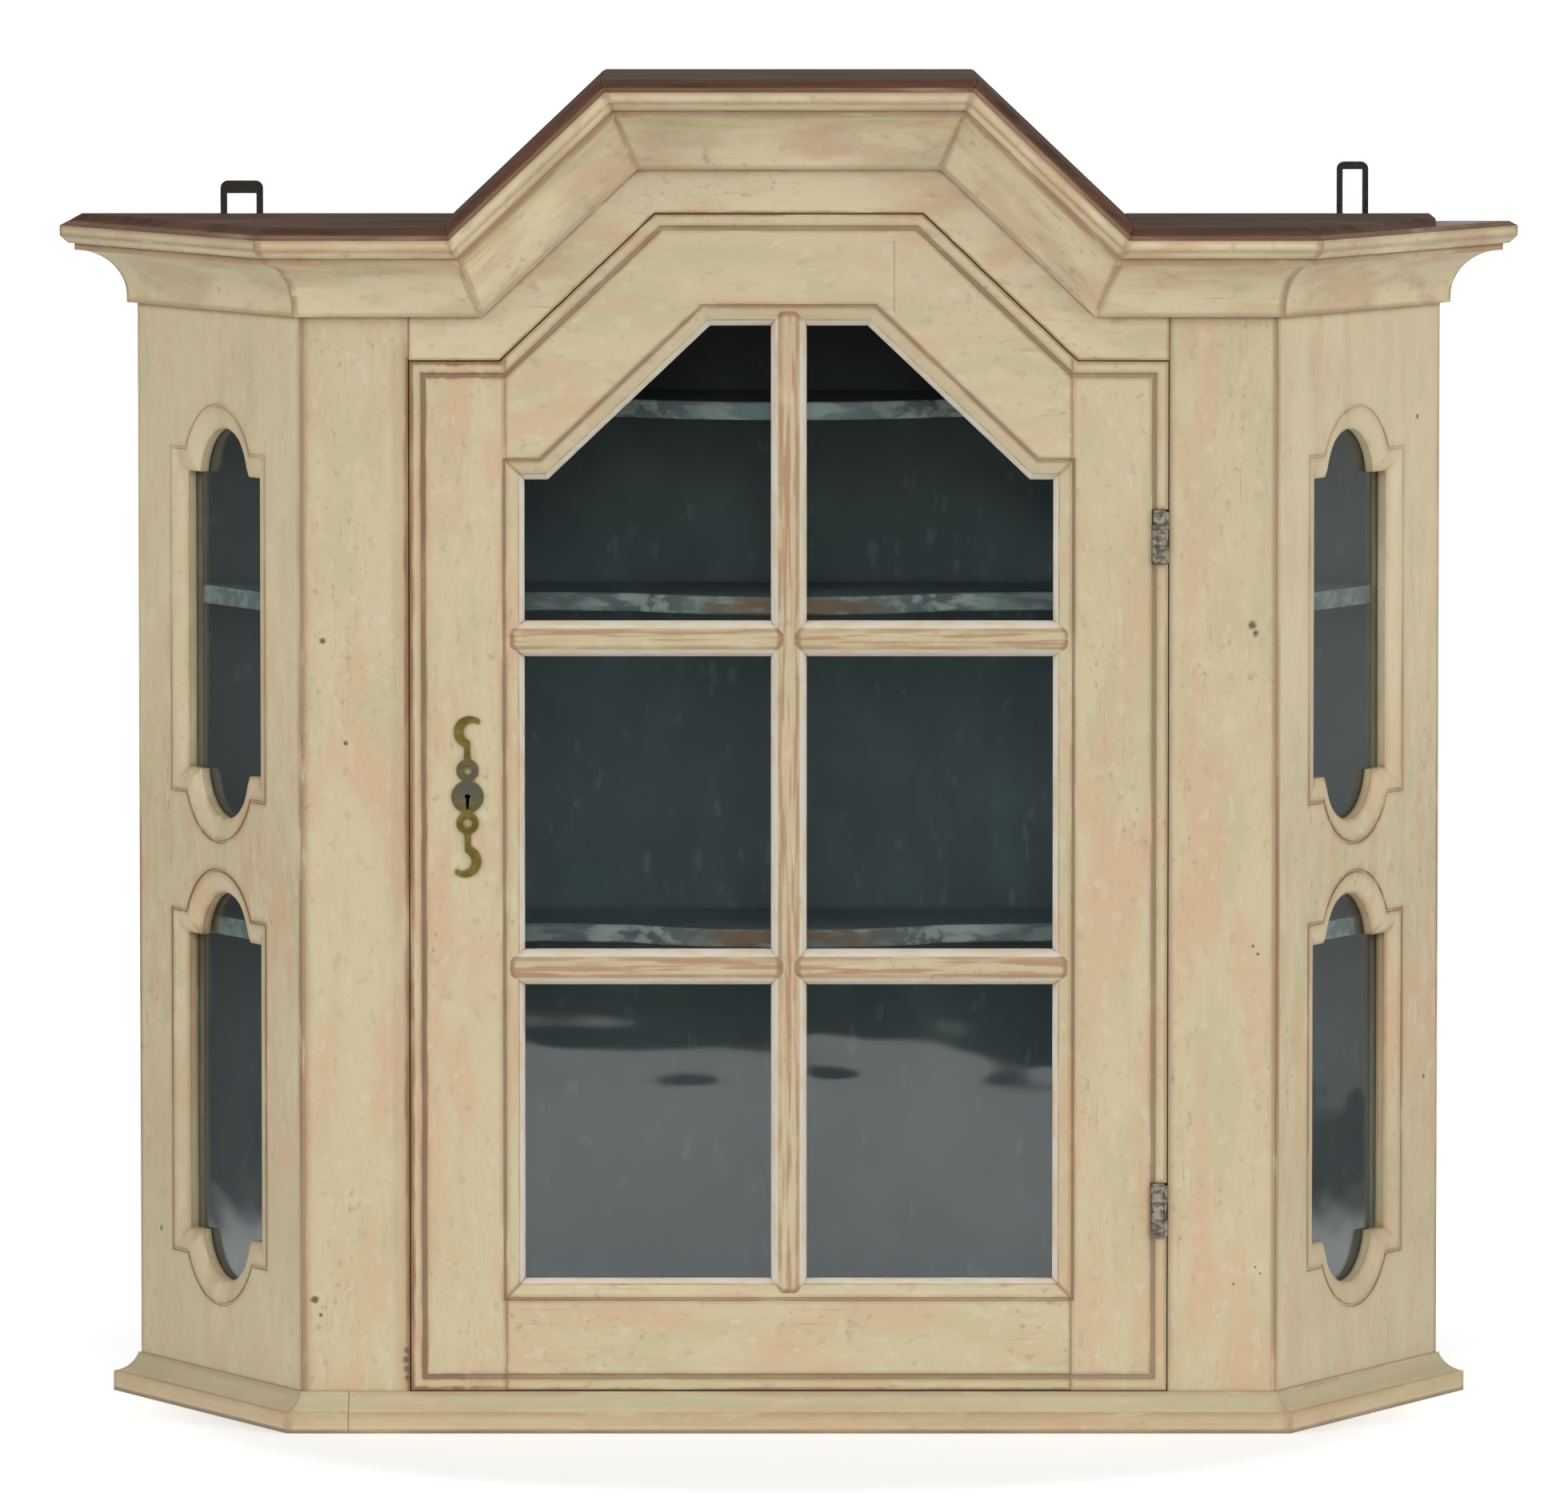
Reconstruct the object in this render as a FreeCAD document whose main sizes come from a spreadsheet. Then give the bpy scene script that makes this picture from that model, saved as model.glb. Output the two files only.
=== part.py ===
import FreeCAD, Part
import math
import os
import types

import Sketcher

# Hanging cabinet with a broken-arch top, canted glazed sides and one glazed door.
# Millimetres, +Z up, +Y towards the wall. The origin lies on the base, at the
# middle of the cabinet's whole width and depth.

DIMENSIONS = {
    # Carcass
    "front_half_width": 314.0,
    "back_half_width": 428.0,
    "carcass_depth": 206.0,
    "side_thickness": 18.0,
    "frame_thickness": 22.0,
    "back_thickness": 14.0,
    "bottom_thickness": 25.5,
    "roof_thickness": 5.0,
    # Mouldings
    "base_projection": 16.0,
    "base_nose_height": 13.0,
    "base_lip": 1.5,
    "base_cove_sag": 2.0,
    "cornice_projection": 44.5,
    "cornice_height": 53.5,
    "cornice_fillet_projection": 6.0,
    "cornice_fillet_height": 4.4,
    "cornice_cove_radius": 30.0,
    "cornice_step": 4.5,
    "cornice_nose_chamfer": 5.0,
    "cornice_bevel_width": 5.0,
    "cornice_bevel_height": 3.0,
    "roof_bevel_width": 8.0,
    "right_roof_trim": 7.0,
    # Arch, shared by the door, the frieze, the cornice and the roof
    "arch_slope": 43.5,
    "door_half_width": 243.7,
    "door_gap": 0.6,
    "door_shoulder_height": 690.7,
    "door_spring_half_width": 185.5,
    "door_top_height": 785.2,
    "frieze_width": 28.2,
    # Door glazing
    "sight_half_width": 170.0,
    "sight_bottom_height": 98.3,
    "sight_shoulder_height": 614.5,
    "sight_spring_half_width": 155.0,
    "sight_top_height": 713.5,
    "ovolo_width": 12.0,
    "ovolo_crown_width": 4.5,
    "ovolo_crown_depth": 3.0,
    "ovolo_depth": 8.0,
    "quirk_width": 2.0,
    "quirk_depth": 1.3,
    "bead_width": 7.4,
    "bead_groove_width": 3.0,
    "bead_groove_depth": 1.5,
    "glass_setback": 10.0,
    "glass_thickness": 2.0,
    "rebate_width": 8.0,
    "pane_play": 0.6,
    "putty_width": 5.0,
    "putty_depth": 5.0,
    # Glazing bars
    "bar_width": 23.0,
    "bar_nose_width": 7.0,
    "bar_recess": 1.0,
    "bar_tongue_width": 6.0,
    "bar_tongue_reach": 19.0,
    "upper_bar_height": 512.1,
    "lower_bar_height": 300.1,
    # Side windows
    "window_half_width": 53.0,
    "lobe_radius": 35.5,
    "lobe_height": 30.0,
    "upper_window_bottom": 387.5,
    "upper_window_top": 642.0,
    "lower_window_bottom": 84.5,
    "lower_window_top": 339.0,
    "window_centre_left": 119.0,
    "window_centre_right": 114.0,
    "window_ovolo_width": 14.0,
    "window_ovolo_crown_width": 5.0,
    "window_ovolo_crown_depth": 2.0,
    "window_ovolo_depth": 5.5,
    "window_glass_setback": 11.5,
    # Shelves
    "shelf_thickness": 12.0,
    "top_shelf_height": 662.5,
    "middle_shelf_height": 536.5,
    "bottom_shelf_height": 320.5,
    "shelf_end_setback": 64.0,
    "shelf_bay_setback": 90.0,
    "shelf_bay_half_width": 215.0,
    "shelf_cusp_setback": 80.0,
    "shelf_cusp_half_width": 100.0,
    "shelf_bow_setback": 42.0,
    # Hinges
    "hinge_inset": 5.7,
    "hinge_barrel_radius": 4.5,
    "hinge_pin_radius": 2.0,
    "hinge_pin_fit": 0.05,
    "hinge_height": 33.0,
    "hinge_knuckle_gap": 0.3,
    "hinge_leaf_thickness": 1.2,
    "hinge_leaf_reach": 18.0,
    "hinge_leaf_play": 0.5,
    "hinge_clearance": 0.5,
    "upper_hinge_height": 577.5,
    "lower_hinge_height": 142.5,
    # Lock
    "lock_height": 410.5,
    "lock_centre": 206.7,
    "lock_case_edge": 236.0,
    "lock_case_width": 56.0,
    "lock_case_height": 54.0,
    "lock_case_depth": 12.0,
    "lock_wall": 1.5,
    "lock_post_radius": 1.5,
    "bolt_height": 12.0,
    "bolt_thickness": 5.0,
    "bolt_length": 38.0,
    "bolt_nose": 0.5,
    "bolt_play": 0.3,
    "bolt_drop": 6.0,
    "talon_width": 8.0,
    "talon_height": 4.0,
    "spring_thickness": 0.8,
    "spring_width": 4.0,
    "spring_inset": 3.0,
    "keyhole_radius": 1.9,
    "keyhole_slot_width": 2.0,
    "keyhole_drop": 8.0,
    "strike_thickness": 1.2,
    "strike_width": 24.0,
    "strike_height": 46.0,
    "strike_edge": 2.0,
    # Escutcheon
    "plate_thickness": 1.2,
    "plate_half_height": 52.0,
    "plate_stem_width": 4.6,
    "plate_ring_radius": 10.4,
    "plate_small_ring_radius": 7.2,
    "plate_small_ring_hole": 2.7,
    "plate_small_ring_place": 17.0,
    "hook_radius": 10.3,
    "hook_hollow_radius": 6.2,
    "hook_lean": 1.5,
    "hook_hollow_lean": 2.2,
    "hook_tip_angle": 50.0,
    "hook_foot_angle": 250.0,
    "pin_head_radius": 3.4,
    "pin_head_height": 0.9,
    "pin_shank_radius": 0.7,
    "pin_shank_length": 8.0,
    # Door stops
    "stop_width": 18.0,
    "stop_thickness": 9.0,
    "stop_height": 30.0,
    "stop_overlap": 6.0,
    "stop_gap": 0.4,
    "lower_stop_height": 65.5,
    "upper_stop_height": 605.5,
    # Hangers
    "hanger_thickness": 3.0,
    "hanger_leg_drop": 92.0,
    "hanger_let_in": 0.3,
    "hanger_corner_radius": 5.0,
    "hanger_nail_share": 0.33,
    "left_hanger_inset": 69.0,
    "left_hanger_half_width": 14.0,
    "left_hanger_leg": 4.4,
    "left_hanger_bow": 8.4,
    "left_hanger_rise": 21.5,
    "right_hanger_inset": 58.0,
    "right_hanger_half_width": 10.4,
    "right_hanger_leg": 4.0,
    "right_hanger_bow": 5.2,
    "right_hanger_rise": 34.0,
    # Nails
    "nail_head_radius": 2.6,
    "nail_head_thickness": 1.2,
    "nail_shank_radius": 1.1,
    "nail_length": 30.0,
    "short_nail_length": 11.0,
    "stile_nail_inset": 12.0,
    "board_nail_inset": 30.0,
    # Overrun of tools and mitre blocks past the wood that they cut
    "overrun": 6.0,
}


class Size:
    """A length or angle that follows the sheet: its expression and its present value."""

    def __init__(self, text, value):
        self.text = text
        self.value = float(value)

    @staticmethod
    def of(other):
        return other if isinstance(other, Size) else Size(repr(float(other)), other)

    def combine(self, other, sign, value, swapped=False):
        other = Size.of(other)
        first, second = (other, self) if swapped else (self, other)
        return Size(f"({first.text} {sign} {second.text})", value(first.value, second.value))

    def __add__(self, other):
        return self.combine(other, "+", lambda a, b: a + b)

    def __radd__(self, other):
        return self.combine(other, "+", lambda a, b: a + b, True)

    def __sub__(self, other):
        return self.combine(other, "-", lambda a, b: a - b)

    def __rsub__(self, other):
        return self.combine(other, "-", lambda a, b: a - b, True)

    def __mul__(self, other):
        return self.combine(other, "*", lambda a, b: a * b)

    def __rmul__(self, other):
        return self.combine(other, "*", lambda a, b: a * b, True)

    def __truediv__(self, other):
        return self.combine(other, "/", lambda a, b: a / b)

    def __neg__(self):
        return self * -1

    def root(self):
        return Size(f"sqrt({self.text})", math.sqrt(self.value))

    def tangent(self):
        return Size(f"tan({self.text})", math.tan(math.radians(self.value)))

    def sine(self):
        return Size(f"sin({self.text})", math.sin(math.radians(self.value)))

    def cosine(self):
        return Size(f"cos({self.text})", math.cos(math.radians(self.value)))

    def arctangent(self):
        return Size(f"atan({self.text})", math.degrees(math.atan(self.value)))


doc = FreeCAD.newDocument("HangingCabinet")
sheet = doc.addObject("Spreadsheet::Sheet", "Dims")
for row, (alias, number) in enumerate(DIMENSIONS.items(), start=1):
    sheet.set(f"A{row}", alias.replace("_", " "))
    sheet.set(f"B{row}", str(number))
    sheet.setAlias(f"B{row}", alias)
doc.recompute()

size = types.SimpleNamespace(
    **{alias: Size(f"Dims.{alias}", number) for alias, number in DIMENSIONS.items()}
)
ZERO = Size("0", 0)
QUARTER_TURN = Size("90", 90)
UP = FreeCAD.Vector(0, 0, 1)
ACROSS = FreeCAD.Vector(0, 1, 0)
SIDEWAYS = FreeCAD.Vector(1, 0, 0)
HINGE_KNUCKLES = 3
SIDES = (("left", -1), ("right", 1))
nodes = {}


# Derived places

# The front face of the door and its frame, and the wall behind the cabinet
FRONT = (size.cornice_projection - size.carcass_depth) / 2
WALL = FRONT + size.carcass_depth
BACK_INSIDE = WALL - size.back_thickness

# Direction of the canted sides in plan
CANT_OUT = size.back_half_width - size.front_half_width
CANT_LENGTH = (CANT_OUT * CANT_OUT + size.carcass_depth * size.carcass_depth).root()
CANT_COSINE = CANT_OUT / CANT_LENGTH
CANT_SINE = size.carcass_depth / CANT_LENGTH
CANT_MITRE = (CANT_LENGTH - CANT_OUT) / size.carcass_depth
CANT_SLANT = CANT_OUT / size.carcass_depth
CANT_ANGLE = (size.carcass_depth / CANT_OUT).arctangent()

# Inner corner between a front stile and a canted side
INNER_CORNER = (
    size.front_half_width - size.side_thickness / CANT_SINE + size.frame_thickness * CANT_SLANT
)

# Mitre of the arch, and offsets outwards from the door's edge
ARCH_TANGENT = size.arch_slope.tangent()
ARCH_MITRE = (size.arch_slope / 2).tangent()
FRAME_OFFSET = size.door_gap
CORNICE_OFFSET = size.door_gap + size.frieze_width
ROOF_OFFSET = CORNICE_OFFSET + size.cornice_height
SHOULDER_HEIGHT = size.door_shoulder_height + ROOF_OFFSET
TOP_HEIGHT = size.door_top_height + ROOF_OFFSET
DOOR_TOP_HALF = (
    size.door_spring_half_width
    - (size.door_top_height - size.door_shoulder_height) / ARCH_TANGENT
)
SIGHT_TOP_HALF = (
    size.sight_spring_half_width
    - (size.sight_top_height - size.sight_shoulder_height) / ARCH_TANGENT
)
DOOR_BOTTOM = size.bottom_thickness + size.door_gap
FRAME_HALF = size.door_half_width + size.door_gap


def side_inside(depth):
    """Half width between the canted sides, at a depth behind the front face."""
    return INNER_CORNER + (depth - size.frame_thickness) * CANT_SLANT


# Solids

def origin_plane(body, role):
    """One of the three planes of a body's own origin."""
    return next(plane for plane in body.Origin.OriginFeatures if plane.Role == role)


def vector(point):
    return FreeCAD.Vector(Size.of(point[0]).value, Size.of(point[1]).value, 0)


def bind_point(sketch, geometry, position, point, name):
    """Hold one point of a sketch at a place that follows the sheet."""
    for kind, place in zip(("DistanceX", "DistanceY"), point):
        place = Size.of(place)
        index = sketch.addConstraint(
            Sketcher.Constraint(kind, -1, 1, geometry, position, place.value)
        )
        label = f"{name}_{kind[-1].lower()}"
        sketch.renameConstraint(index, label)
        sketch.setExpression(f"Constraints.{label}", place.text)


def draw_outline(sketch, outline, name):
    """A closed outline: each item is a point, or a mid point and an end point of an arc."""
    ends = [item[1] if isinstance(item[0], tuple) else item for item in outline]
    count = len(outline)
    first = len(sketch.Geometry)
    tips = []
    for index in range(count):
        start, item = ends[index - 1], outline[index]
        if isinstance(item[0], tuple):
            points = [vector(start), vector(item[0]), vector(item[1])]
            forward = (points[1] - points[0]).cross(points[2] - points[1]).z > 0
            sketch.addGeometry(Part.Arc(*(points if forward else reversed(points))))
            tips.append((1, 2) if forward else (2, 1))
        else:
            sketch.addGeometry(Part.LineSegment(vector(start), vector(item)))
            tips.append((1, 2))
    for index in range(count):
        after = (index + 1) % count
        sketch.addConstraint(
            Sketcher.Constraint(
                "Coincident", first + index, tips[index][1], first + after, tips[after][0]
            )
        )
        bind_point(sketch, first + index, tips[index][1], ends[index], f"{name}{index}")
    for index, item in enumerate(outline):
        if isinstance(item[0], tuple):
            middle = sketch.addGeometry(Part.Point(vector(item[0])), True)
            bind_point(sketch, middle, 1, item[0], f"{name}{index}_mid")
            sketch.addConstraint(Sketcher.Constraint("PointOnObject", middle, 1, first + index))


def draw_sketch(body, name, role, offset, outlines, circles=()):
    """A sketch on a plane of the body's origin, moved along that plane's normal."""
    sketch = body.newObject("Sketcher::SketchObject", name)
    sketch.AttachmentSupport = [(origin_plane(body, role), "")]
    sketch.MapMode = "FlatFace"
    sketch.setExpression("AttachmentOffset.Base.z", Size.of(offset).text)
    for index, outline in enumerate(outlines):
        draw_outline(sketch, outline, f"p{index}_")
    for index, (centre, radius) in enumerate(circles):
        circle = sketch.addGeometry(
            Part.Circle(vector(centre), UP, radius.value)
        )
        bind_point(sketch, circle, 3, centre, f"c{index}")
        bound = sketch.addConstraint(Sketcher.Constraint("Radius", circle, radius.value))
        sketch.renameConstraint(bound, f"r{index}")
        sketch.setExpression(f"Constraints.r{index}", radius.text)
    return sketch


def new_body(name):
    body = doc.addObject("PartDesign::Body", name)
    body.AllowCompound = True
    return body


def add_pad(body, name, role, start, length, outlines, circles=()):
    """Pad from a start along the plane's own axis: X for YZ, Y for XZ and Z for XY."""
    offset = -(start + length) if role == "XZ_Plane" else start
    sketch = draw_sketch(body, f"{name}_sketch", role, offset, outlines, circles)
    pad = body.newObject("PartDesign::Pad", name)
    pad.Profile = sketch
    pad.setExpression("Length", Size.of(length).text)
    return pad


def add_pocket(body, name, role, start, length, outlines, circles=()):
    """Pocket that removes the wood between a start and a depth along the plane's axis."""
    offset = -start if role == "XZ_Plane" else start + length
    sketch = draw_sketch(body, f"{name}_sketch", role, offset, outlines, circles)
    pocket = body.newObject("PartDesign::Pocket", name)
    pocket.Profile = sketch
    pocket.setExpression("Length", Size.of(length).text)
    return pocket


def prism(name, role, start, length, outlines, circles=()):
    body = new_body(name)
    add_pad(body, f"{name}_pad", role, start, length, outlines, circles)
    return body


def place(item, x=ZERO, y=ZERO, z=ZERO, angle=None, axis=UP):
    """Put a solid at a place, turned about one axis."""
    if angle is not None:
        item.Placement = FreeCAD.Placement(
            FreeCAD.Vector(), FreeCAD.Rotation(axis, Size.of(angle).value)
        )
        item.setExpression("Placement.Rotation.Angle", Size.of(angle).text)
    for letter, value in (("x", x), ("y", y), ("z", z)):
        item.setExpression(f"Placement.Base.{letter}", Size.of(value).text)
    return item


def common(name, *items):
    shared = doc.addObject("Part::MultiCommon", name)
    shared.Shapes = list(items)
    return shared


def cut(name, base, *tools):
    """One solid less others."""
    for index, tool in enumerate(tools):
        less = doc.addObject("Part::Cut", name if index == len(tools) - 1 else f"{name}_{index}")
        less.Base = base
        less.Tool = tool
        base = less
    return base


def fuse(name, *items):
    joined = doc.addObject("Part::MultiFuse", name)
    joined.Shapes = list(items)
    return joined


def cylinder(name, x, y, z, radius, length, axis=None, angle=None):
    item = doc.addObject("Part::Cylinder", name)
    item.setExpression("Radius", radius.text)
    item.setExpression("Height", length.text)
    return place(item, x, y, z, angle, axis or UP)


def group(name, items):
    """Loose solids of one kind under one name."""
    bundle = doc.addObject("Part::Compound", name)
    bundle.Links = list(items)
    return bundle


def keep(name, item):
    item.Label = name
    nodes[name] = item
    return item


def box_outline(low_u, low_v, high_u, high_v):
    return [(low_u, low_v), (high_u, low_v), (high_u, high_v), (low_u, high_v)]


def mirror(outline, sign):
    """The outline on the right, or its mirror image on the left."""
    def turned(point):
        return (Size.of(point[0]) * sign, point[1])

    return [
        (turned(item[0]), turned(item[1])) if isinstance(item[0], tuple) else turned(item)
        for item in outline
    ]


def arch_half(half, spring, top_half, shoulder, top, offset):
    """The right half of an arched outline, moved outwards by an offset."""
    return [
        (half + offset, shoulder + offset),
        (spring + offset * ARCH_MITRE, shoulder + offset),
        (top_half + offset * ARCH_MITRE, top + offset),
    ]


def door_arch(offset):
    return arch_half(
        size.door_half_width,
        size.door_spring_half_width,
        DOOR_TOP_HALF,
        size.door_shoulder_height,
        size.door_top_height,
        offset,
    )


def sight_arch(offset):
    return arch_half(
        size.sight_half_width,
        size.sight_spring_half_width,
        SIGHT_TOP_HALF,
        size.sight_shoulder_height,
        size.sight_top_height,
        offset,
    )


def whole_arch(half_points, bottom):
    """A full outline from the right half of an arch and the height of its foot."""
    foot = half_points[0][0]
    left = [(-u, v) for u, v in reversed(half_points)]
    return [(-foot, bottom), (foot, bottom)] + half_points + left


def door_outline(offset):
    return whole_arch(door_arch(offset), DOOR_BOTTOM - offset)


def sight_outline(offset):
    return whole_arch(sight_arch(offset), size.sight_bottom_height - offset)


def sunk_moulding(body, name, outline_at, face, width, crown_width, crown_depth, depth):
    """A convex moulding that sinks from the face to an opening, with a fine line round it."""
    line = width + size.quirk_width
    add_pocket(
        body, f"{name}_line", "XZ_Plane", face, size.quirk_depth,
        [outline_at(line), outline_at(width)],
    )
    sections = [
        draw_sketch(body, f"{name}_section{index}", "XZ_Plane", -(face + down), [outline_at(out)])
        for index, (out, down) in enumerate(
            ((width, ZERO), (crown_width, crown_depth), (ZERO, depth))
        )
    ]
    loft = body.newObject("PartDesign::SubtractiveLoft", f"{name}_loft")
    loft.Profile = sections[0]
    loft.Sections = sections[1:]
    loft.Ruled = True
    return loft


# Bottom board, notched round the stiles so that its front edge shows under the door

def build_bottom():
    front_inside = FRONT + size.frame_thickness
    half = [
        (FRAME_HALF, FRONT),
        (FRAME_HALF, front_inside),
        (INNER_CORNER, front_inside),
        (side_inside(size.carcass_depth - size.back_thickness), BACK_INSIDE),
    ]
    outline = half + [(-u, v) for u, v in reversed(half)]
    keep("bottom_board", prism("BottomBoard", "XY_Plane", ZERO, size.bottom_thickness, [outline]))


# Front stiles, mitred to the canted sides at the outer corner

def build_stiles():
    for side, sign in SIDES:
        outline = mirror(
            [
                (FRAME_HALF, FRONT),
                (size.front_half_width, FRONT),
                (INNER_CORNER, FRONT + size.frame_thickness),
                (FRAME_HALF, FRONT + size.frame_thickness),
            ],
            sign,
        )
        keep(
            f"stile_{side}",
            prism(f"Stile_{side}", "XY_Plane", ZERO, SHOULDER_HEIGHT, [outline]),
        )


# Frieze board that follows the arch between the door and the roof

def build_frieze():
    inner = door_arch(FRAME_OFFSET)
    outer = [(FRAME_HALF, SHOULDER_HEIGHT)] + door_arch(ROOF_OFFSET)[1:]
    half = list(reversed(inner)) + outer
    outline = half + [(-u, v) for u, v in reversed(half)]
    keep(
        "frieze_board",
        prism("Frieze", "XZ_Plane", FRONT, size.frame_thickness, [outline]),
    )


# Canted sides with two lobed windows each

def window_outline(centre, bottom, top, offset):
    """A tall window with a narrower round lobe at each end, moved outwards by an offset."""
    half = size.window_half_width + offset
    rise = size.lobe_radius - size.lobe_height
    lobe = (
        (size.lobe_radius + offset) * (size.lobe_radius + offset)
        - (rise + offset) * (rise + offset)
    ).root()
    low_step = bottom + size.lobe_height - offset
    high_step = top - size.lobe_height + offset
    return [
        (centre - half, low_step),
        (centre - half, high_step),
        (centre - lobe, high_step),
        ((centre, top + offset), (centre + lobe, high_step)),
        (centre + half, high_step),
        (centre + half, low_step),
        (centre + lobe, low_step),
        ((centre, bottom - offset), (centre - lobe, low_step)),
    ]


def window_box(centre, bottom, top, offset):
    """The straight outline of a window's glass and its rebate."""
    half = size.window_half_width + offset
    return box_outline(centre - half, bottom - offset, centre + half, top + offset)


def put_on_cant(item, sign):
    """From a side's own frame, X along it from the front corner, to its place."""
    return place(item, size.front_half_width * sign, FRONT, ZERO, CANT_ANGLE * sign)


def build_sides():
    windows = {
        "upper": (size.upper_window_bottom, size.upper_window_top),
        "lower": (size.lower_window_bottom, size.lower_window_top),
    }
    rebate_depth = size.side_thickness - size.window_glass_setback
    pane_offset = size.rebate_width - size.pane_play
    putty = []
    for side, sign in SIDES:
        centre = {"left": size.window_centre_left, "right": size.window_centre_right}[side] * sign
        front_bevel = size.side_thickness / CANT_SINE * CANT_COSINE
        corner_run = (INNER_CORNER - size.front_half_width) * CANT_COSINE
        corner_run = corner_run + size.frame_thickness * CANT_SINE
        plan = mirror(
            [
                (ZERO, ZERO),
                (CANT_LENGTH, ZERO),
                (CANT_LENGTH - front_bevel, size.side_thickness),
                (corner_run, size.side_thickness),
            ],
            sign,
        )
        body = new_body(f"Side_{side}")
        add_pad(body, f"Side_{side}_pad", "XY_Plane", ZERO, SHOULDER_HEIGHT, [plan])
        for name, (bottom, top) in windows.items():
            def outline_at(offset):
                return window_outline(centre, bottom, top, Size.of(offset))

            sunk_moulding(
                body, f"Side_{side}_{name}", outline_at, ZERO, size.window_ovolo_width,
                size.window_ovolo_crown_width, size.window_ovolo_crown_depth,
                size.window_ovolo_depth,
            )
            add_pocket(
                body, f"Side_{side}_{name}_hole", "XZ_Plane", ZERO, size.side_thickness,
                [outline_at(ZERO)],
            )
            add_pocket(
                body, f"Side_{side}_{name}_rebate", "XZ_Plane", size.window_glass_setback,
                rebate_depth, [window_box(centre, bottom, top, size.rebate_width)],
            )
            pane_outline = window_box(centre, bottom, top, pane_offset)
            pane = prism(
                f"Side_pane_{side}_{name}", "XZ_Plane", size.window_glass_setback,
                size.glass_thickness, [pane_outline],
            )
            keep(f"side_pane_{side}_{name}", put_on_cant(pane, sign))
            ring = prism(
                f"Side_putty_{side}_{name}", "XZ_Plane",
                size.window_glass_setback + size.glass_thickness,
                rebate_depth - size.glass_thickness,
                [pane_outline, window_box(centre, bottom, top, pane_offset - size.putty_width)],
            )
            putty.append(put_on_cant(ring, sign))
        keep(f"side_panel_{side}", put_on_cant(body, sign))
    keep("side_window_putty", group("Side_putty", putty))


# Back of four upright boards, cut to the arch at the top

# Place, half width, leg width, bow height and rise of each hanger
HANGERS = {
    "left": (
        size.back_half_width - size.left_hanger_inset, size.left_hanger_half_width,
        size.left_hanger_leg, size.left_hanger_bow, size.left_hanger_rise,
    ),
    "right": (
        size.back_half_width - size.right_hanger_inset, size.right_hanger_half_width,
        size.right_hanger_leg, size.right_hanger_bow, size.right_hanger_rise,
    ),
}


def hanger_recess(side, sign):
    """The shallow seat that lets a hanger's legs into the back and the roof."""
    middle, half, _, _, _ = HANGERS[side]
    low = SHOULDER_HEIGHT - size.hanger_leg_drop - size.hanger_let_in
    high = SHOULDER_HEIGHT + size.roof_thickness + size.overrun
    start = WALL - size.hanger_thickness
    near = middle - half - size.hanger_let_in
    far = middle + half + size.hanger_let_in
    return prism(
        f"Hanger_seat_{side}", "XZ_Plane", start, size.hanger_thickness + size.overrun,
        [mirror(box_outline(near, low, far, high), sign)],
    )


def build_back(recesses):
    spring, top = door_arch(ROOF_OFFSET)[1:]
    for side, sign in SIDES:
        inner = mirror(
            [(ZERO, ZERO), (spring[0], ZERO), spring, top, (ZERO, TOP_HEIGHT)], sign
        )
        keep(
            f"back_board_inner_{side}",
            prism(f"Back_inner_{side}", "XZ_Plane", BACK_INSIDE, size.back_thickness, [inner]),
        )
        outer = mirror(
            [
                (spring[0], BACK_INSIDE),
                (side_inside(size.carcass_depth - size.back_thickness), BACK_INSIDE),
                (side_inside(size.carcass_depth), WALL),
                (spring[0], WALL),
            ],
            sign,
        )
        board = prism(f"Back_outer_{side}_blank", "XY_Plane", ZERO, SHOULDER_HEIGHT, [outer])
        keep(f"back_board_outer_{side}", cut(f"Back_outer_{side}", board, recesses[side]))


# Mitre blocks in the front view: each bounds one stretch of the arch

def arch_regions():
    spring = door_arch(CORNICE_OFFSET)[1]
    top = door_arch(CORNICE_OFFSET)[2]
    low = -size.overrun
    high = size.cornice_height + size.roof_thickness + size.overrun
    far = size.back_half_width + size.cornice_projection * 2
    lift = size.carcass_depth + size.cornice_projection + size.overrun * 2
    start = FRONT - size.cornice_projection - size.overrun

    def along(point, distance):
        return (point[0] + distance * ARCH_MITRE, point[1] + distance)

    outlines = {}
    for side, sign in SIDES:
        outlines[f"slope_{side}"] = mirror(
            [along(spring, low), along(spring, high), along(top, high), along(top, low)], sign
        )
        outlines[f"shoulder_{side}"] = mirror(
            [
                along(spring, low),
                along(spring, high),
                (far, spring[1] + high),
                (far, spring[1] + low),
            ],
            sign,
        )
    left = [(-u, v) for u, v in (along(top, high), along(top, low))]
    outlines["top"] = [along(top, low), along(top, high)] + left
    return {
        name: prism(f"Arch_region_{name}", "XZ_Plane", start, lift, [outline])
        for name, outline in outlines.items()
    }


def arch_member(name, profile, region, blocks=()):
    """One stretch of a moulding or board along the arch, mitred at both ends."""
    spring = door_arch(CORNICE_OFFSET)[1]
    top = door_arch(CORNICE_OFFSET)[2]
    reach = size.back_half_width + size.cornice_projection * 2
    body = prism(f"{name}_run", "YZ_Plane", -reach, reach * 2, [profile])
    if region == "top":
        place(body, ZERO, ZERO, top[1])
    elif region.startswith("shoulder"):
        place(body, ZERO, ZERO, spring[1])
    else:
        sign = dict(SIDES)[region.split("_")[1]]
        place(body, spring[0] * sign, ZERO, spring[1], size.arch_slope * sign, ACROSS)
    return keep(name, common(f"{name}_piece", body, regions[region], *blocks))


# Cornice, in eight mitred lengths

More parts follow.
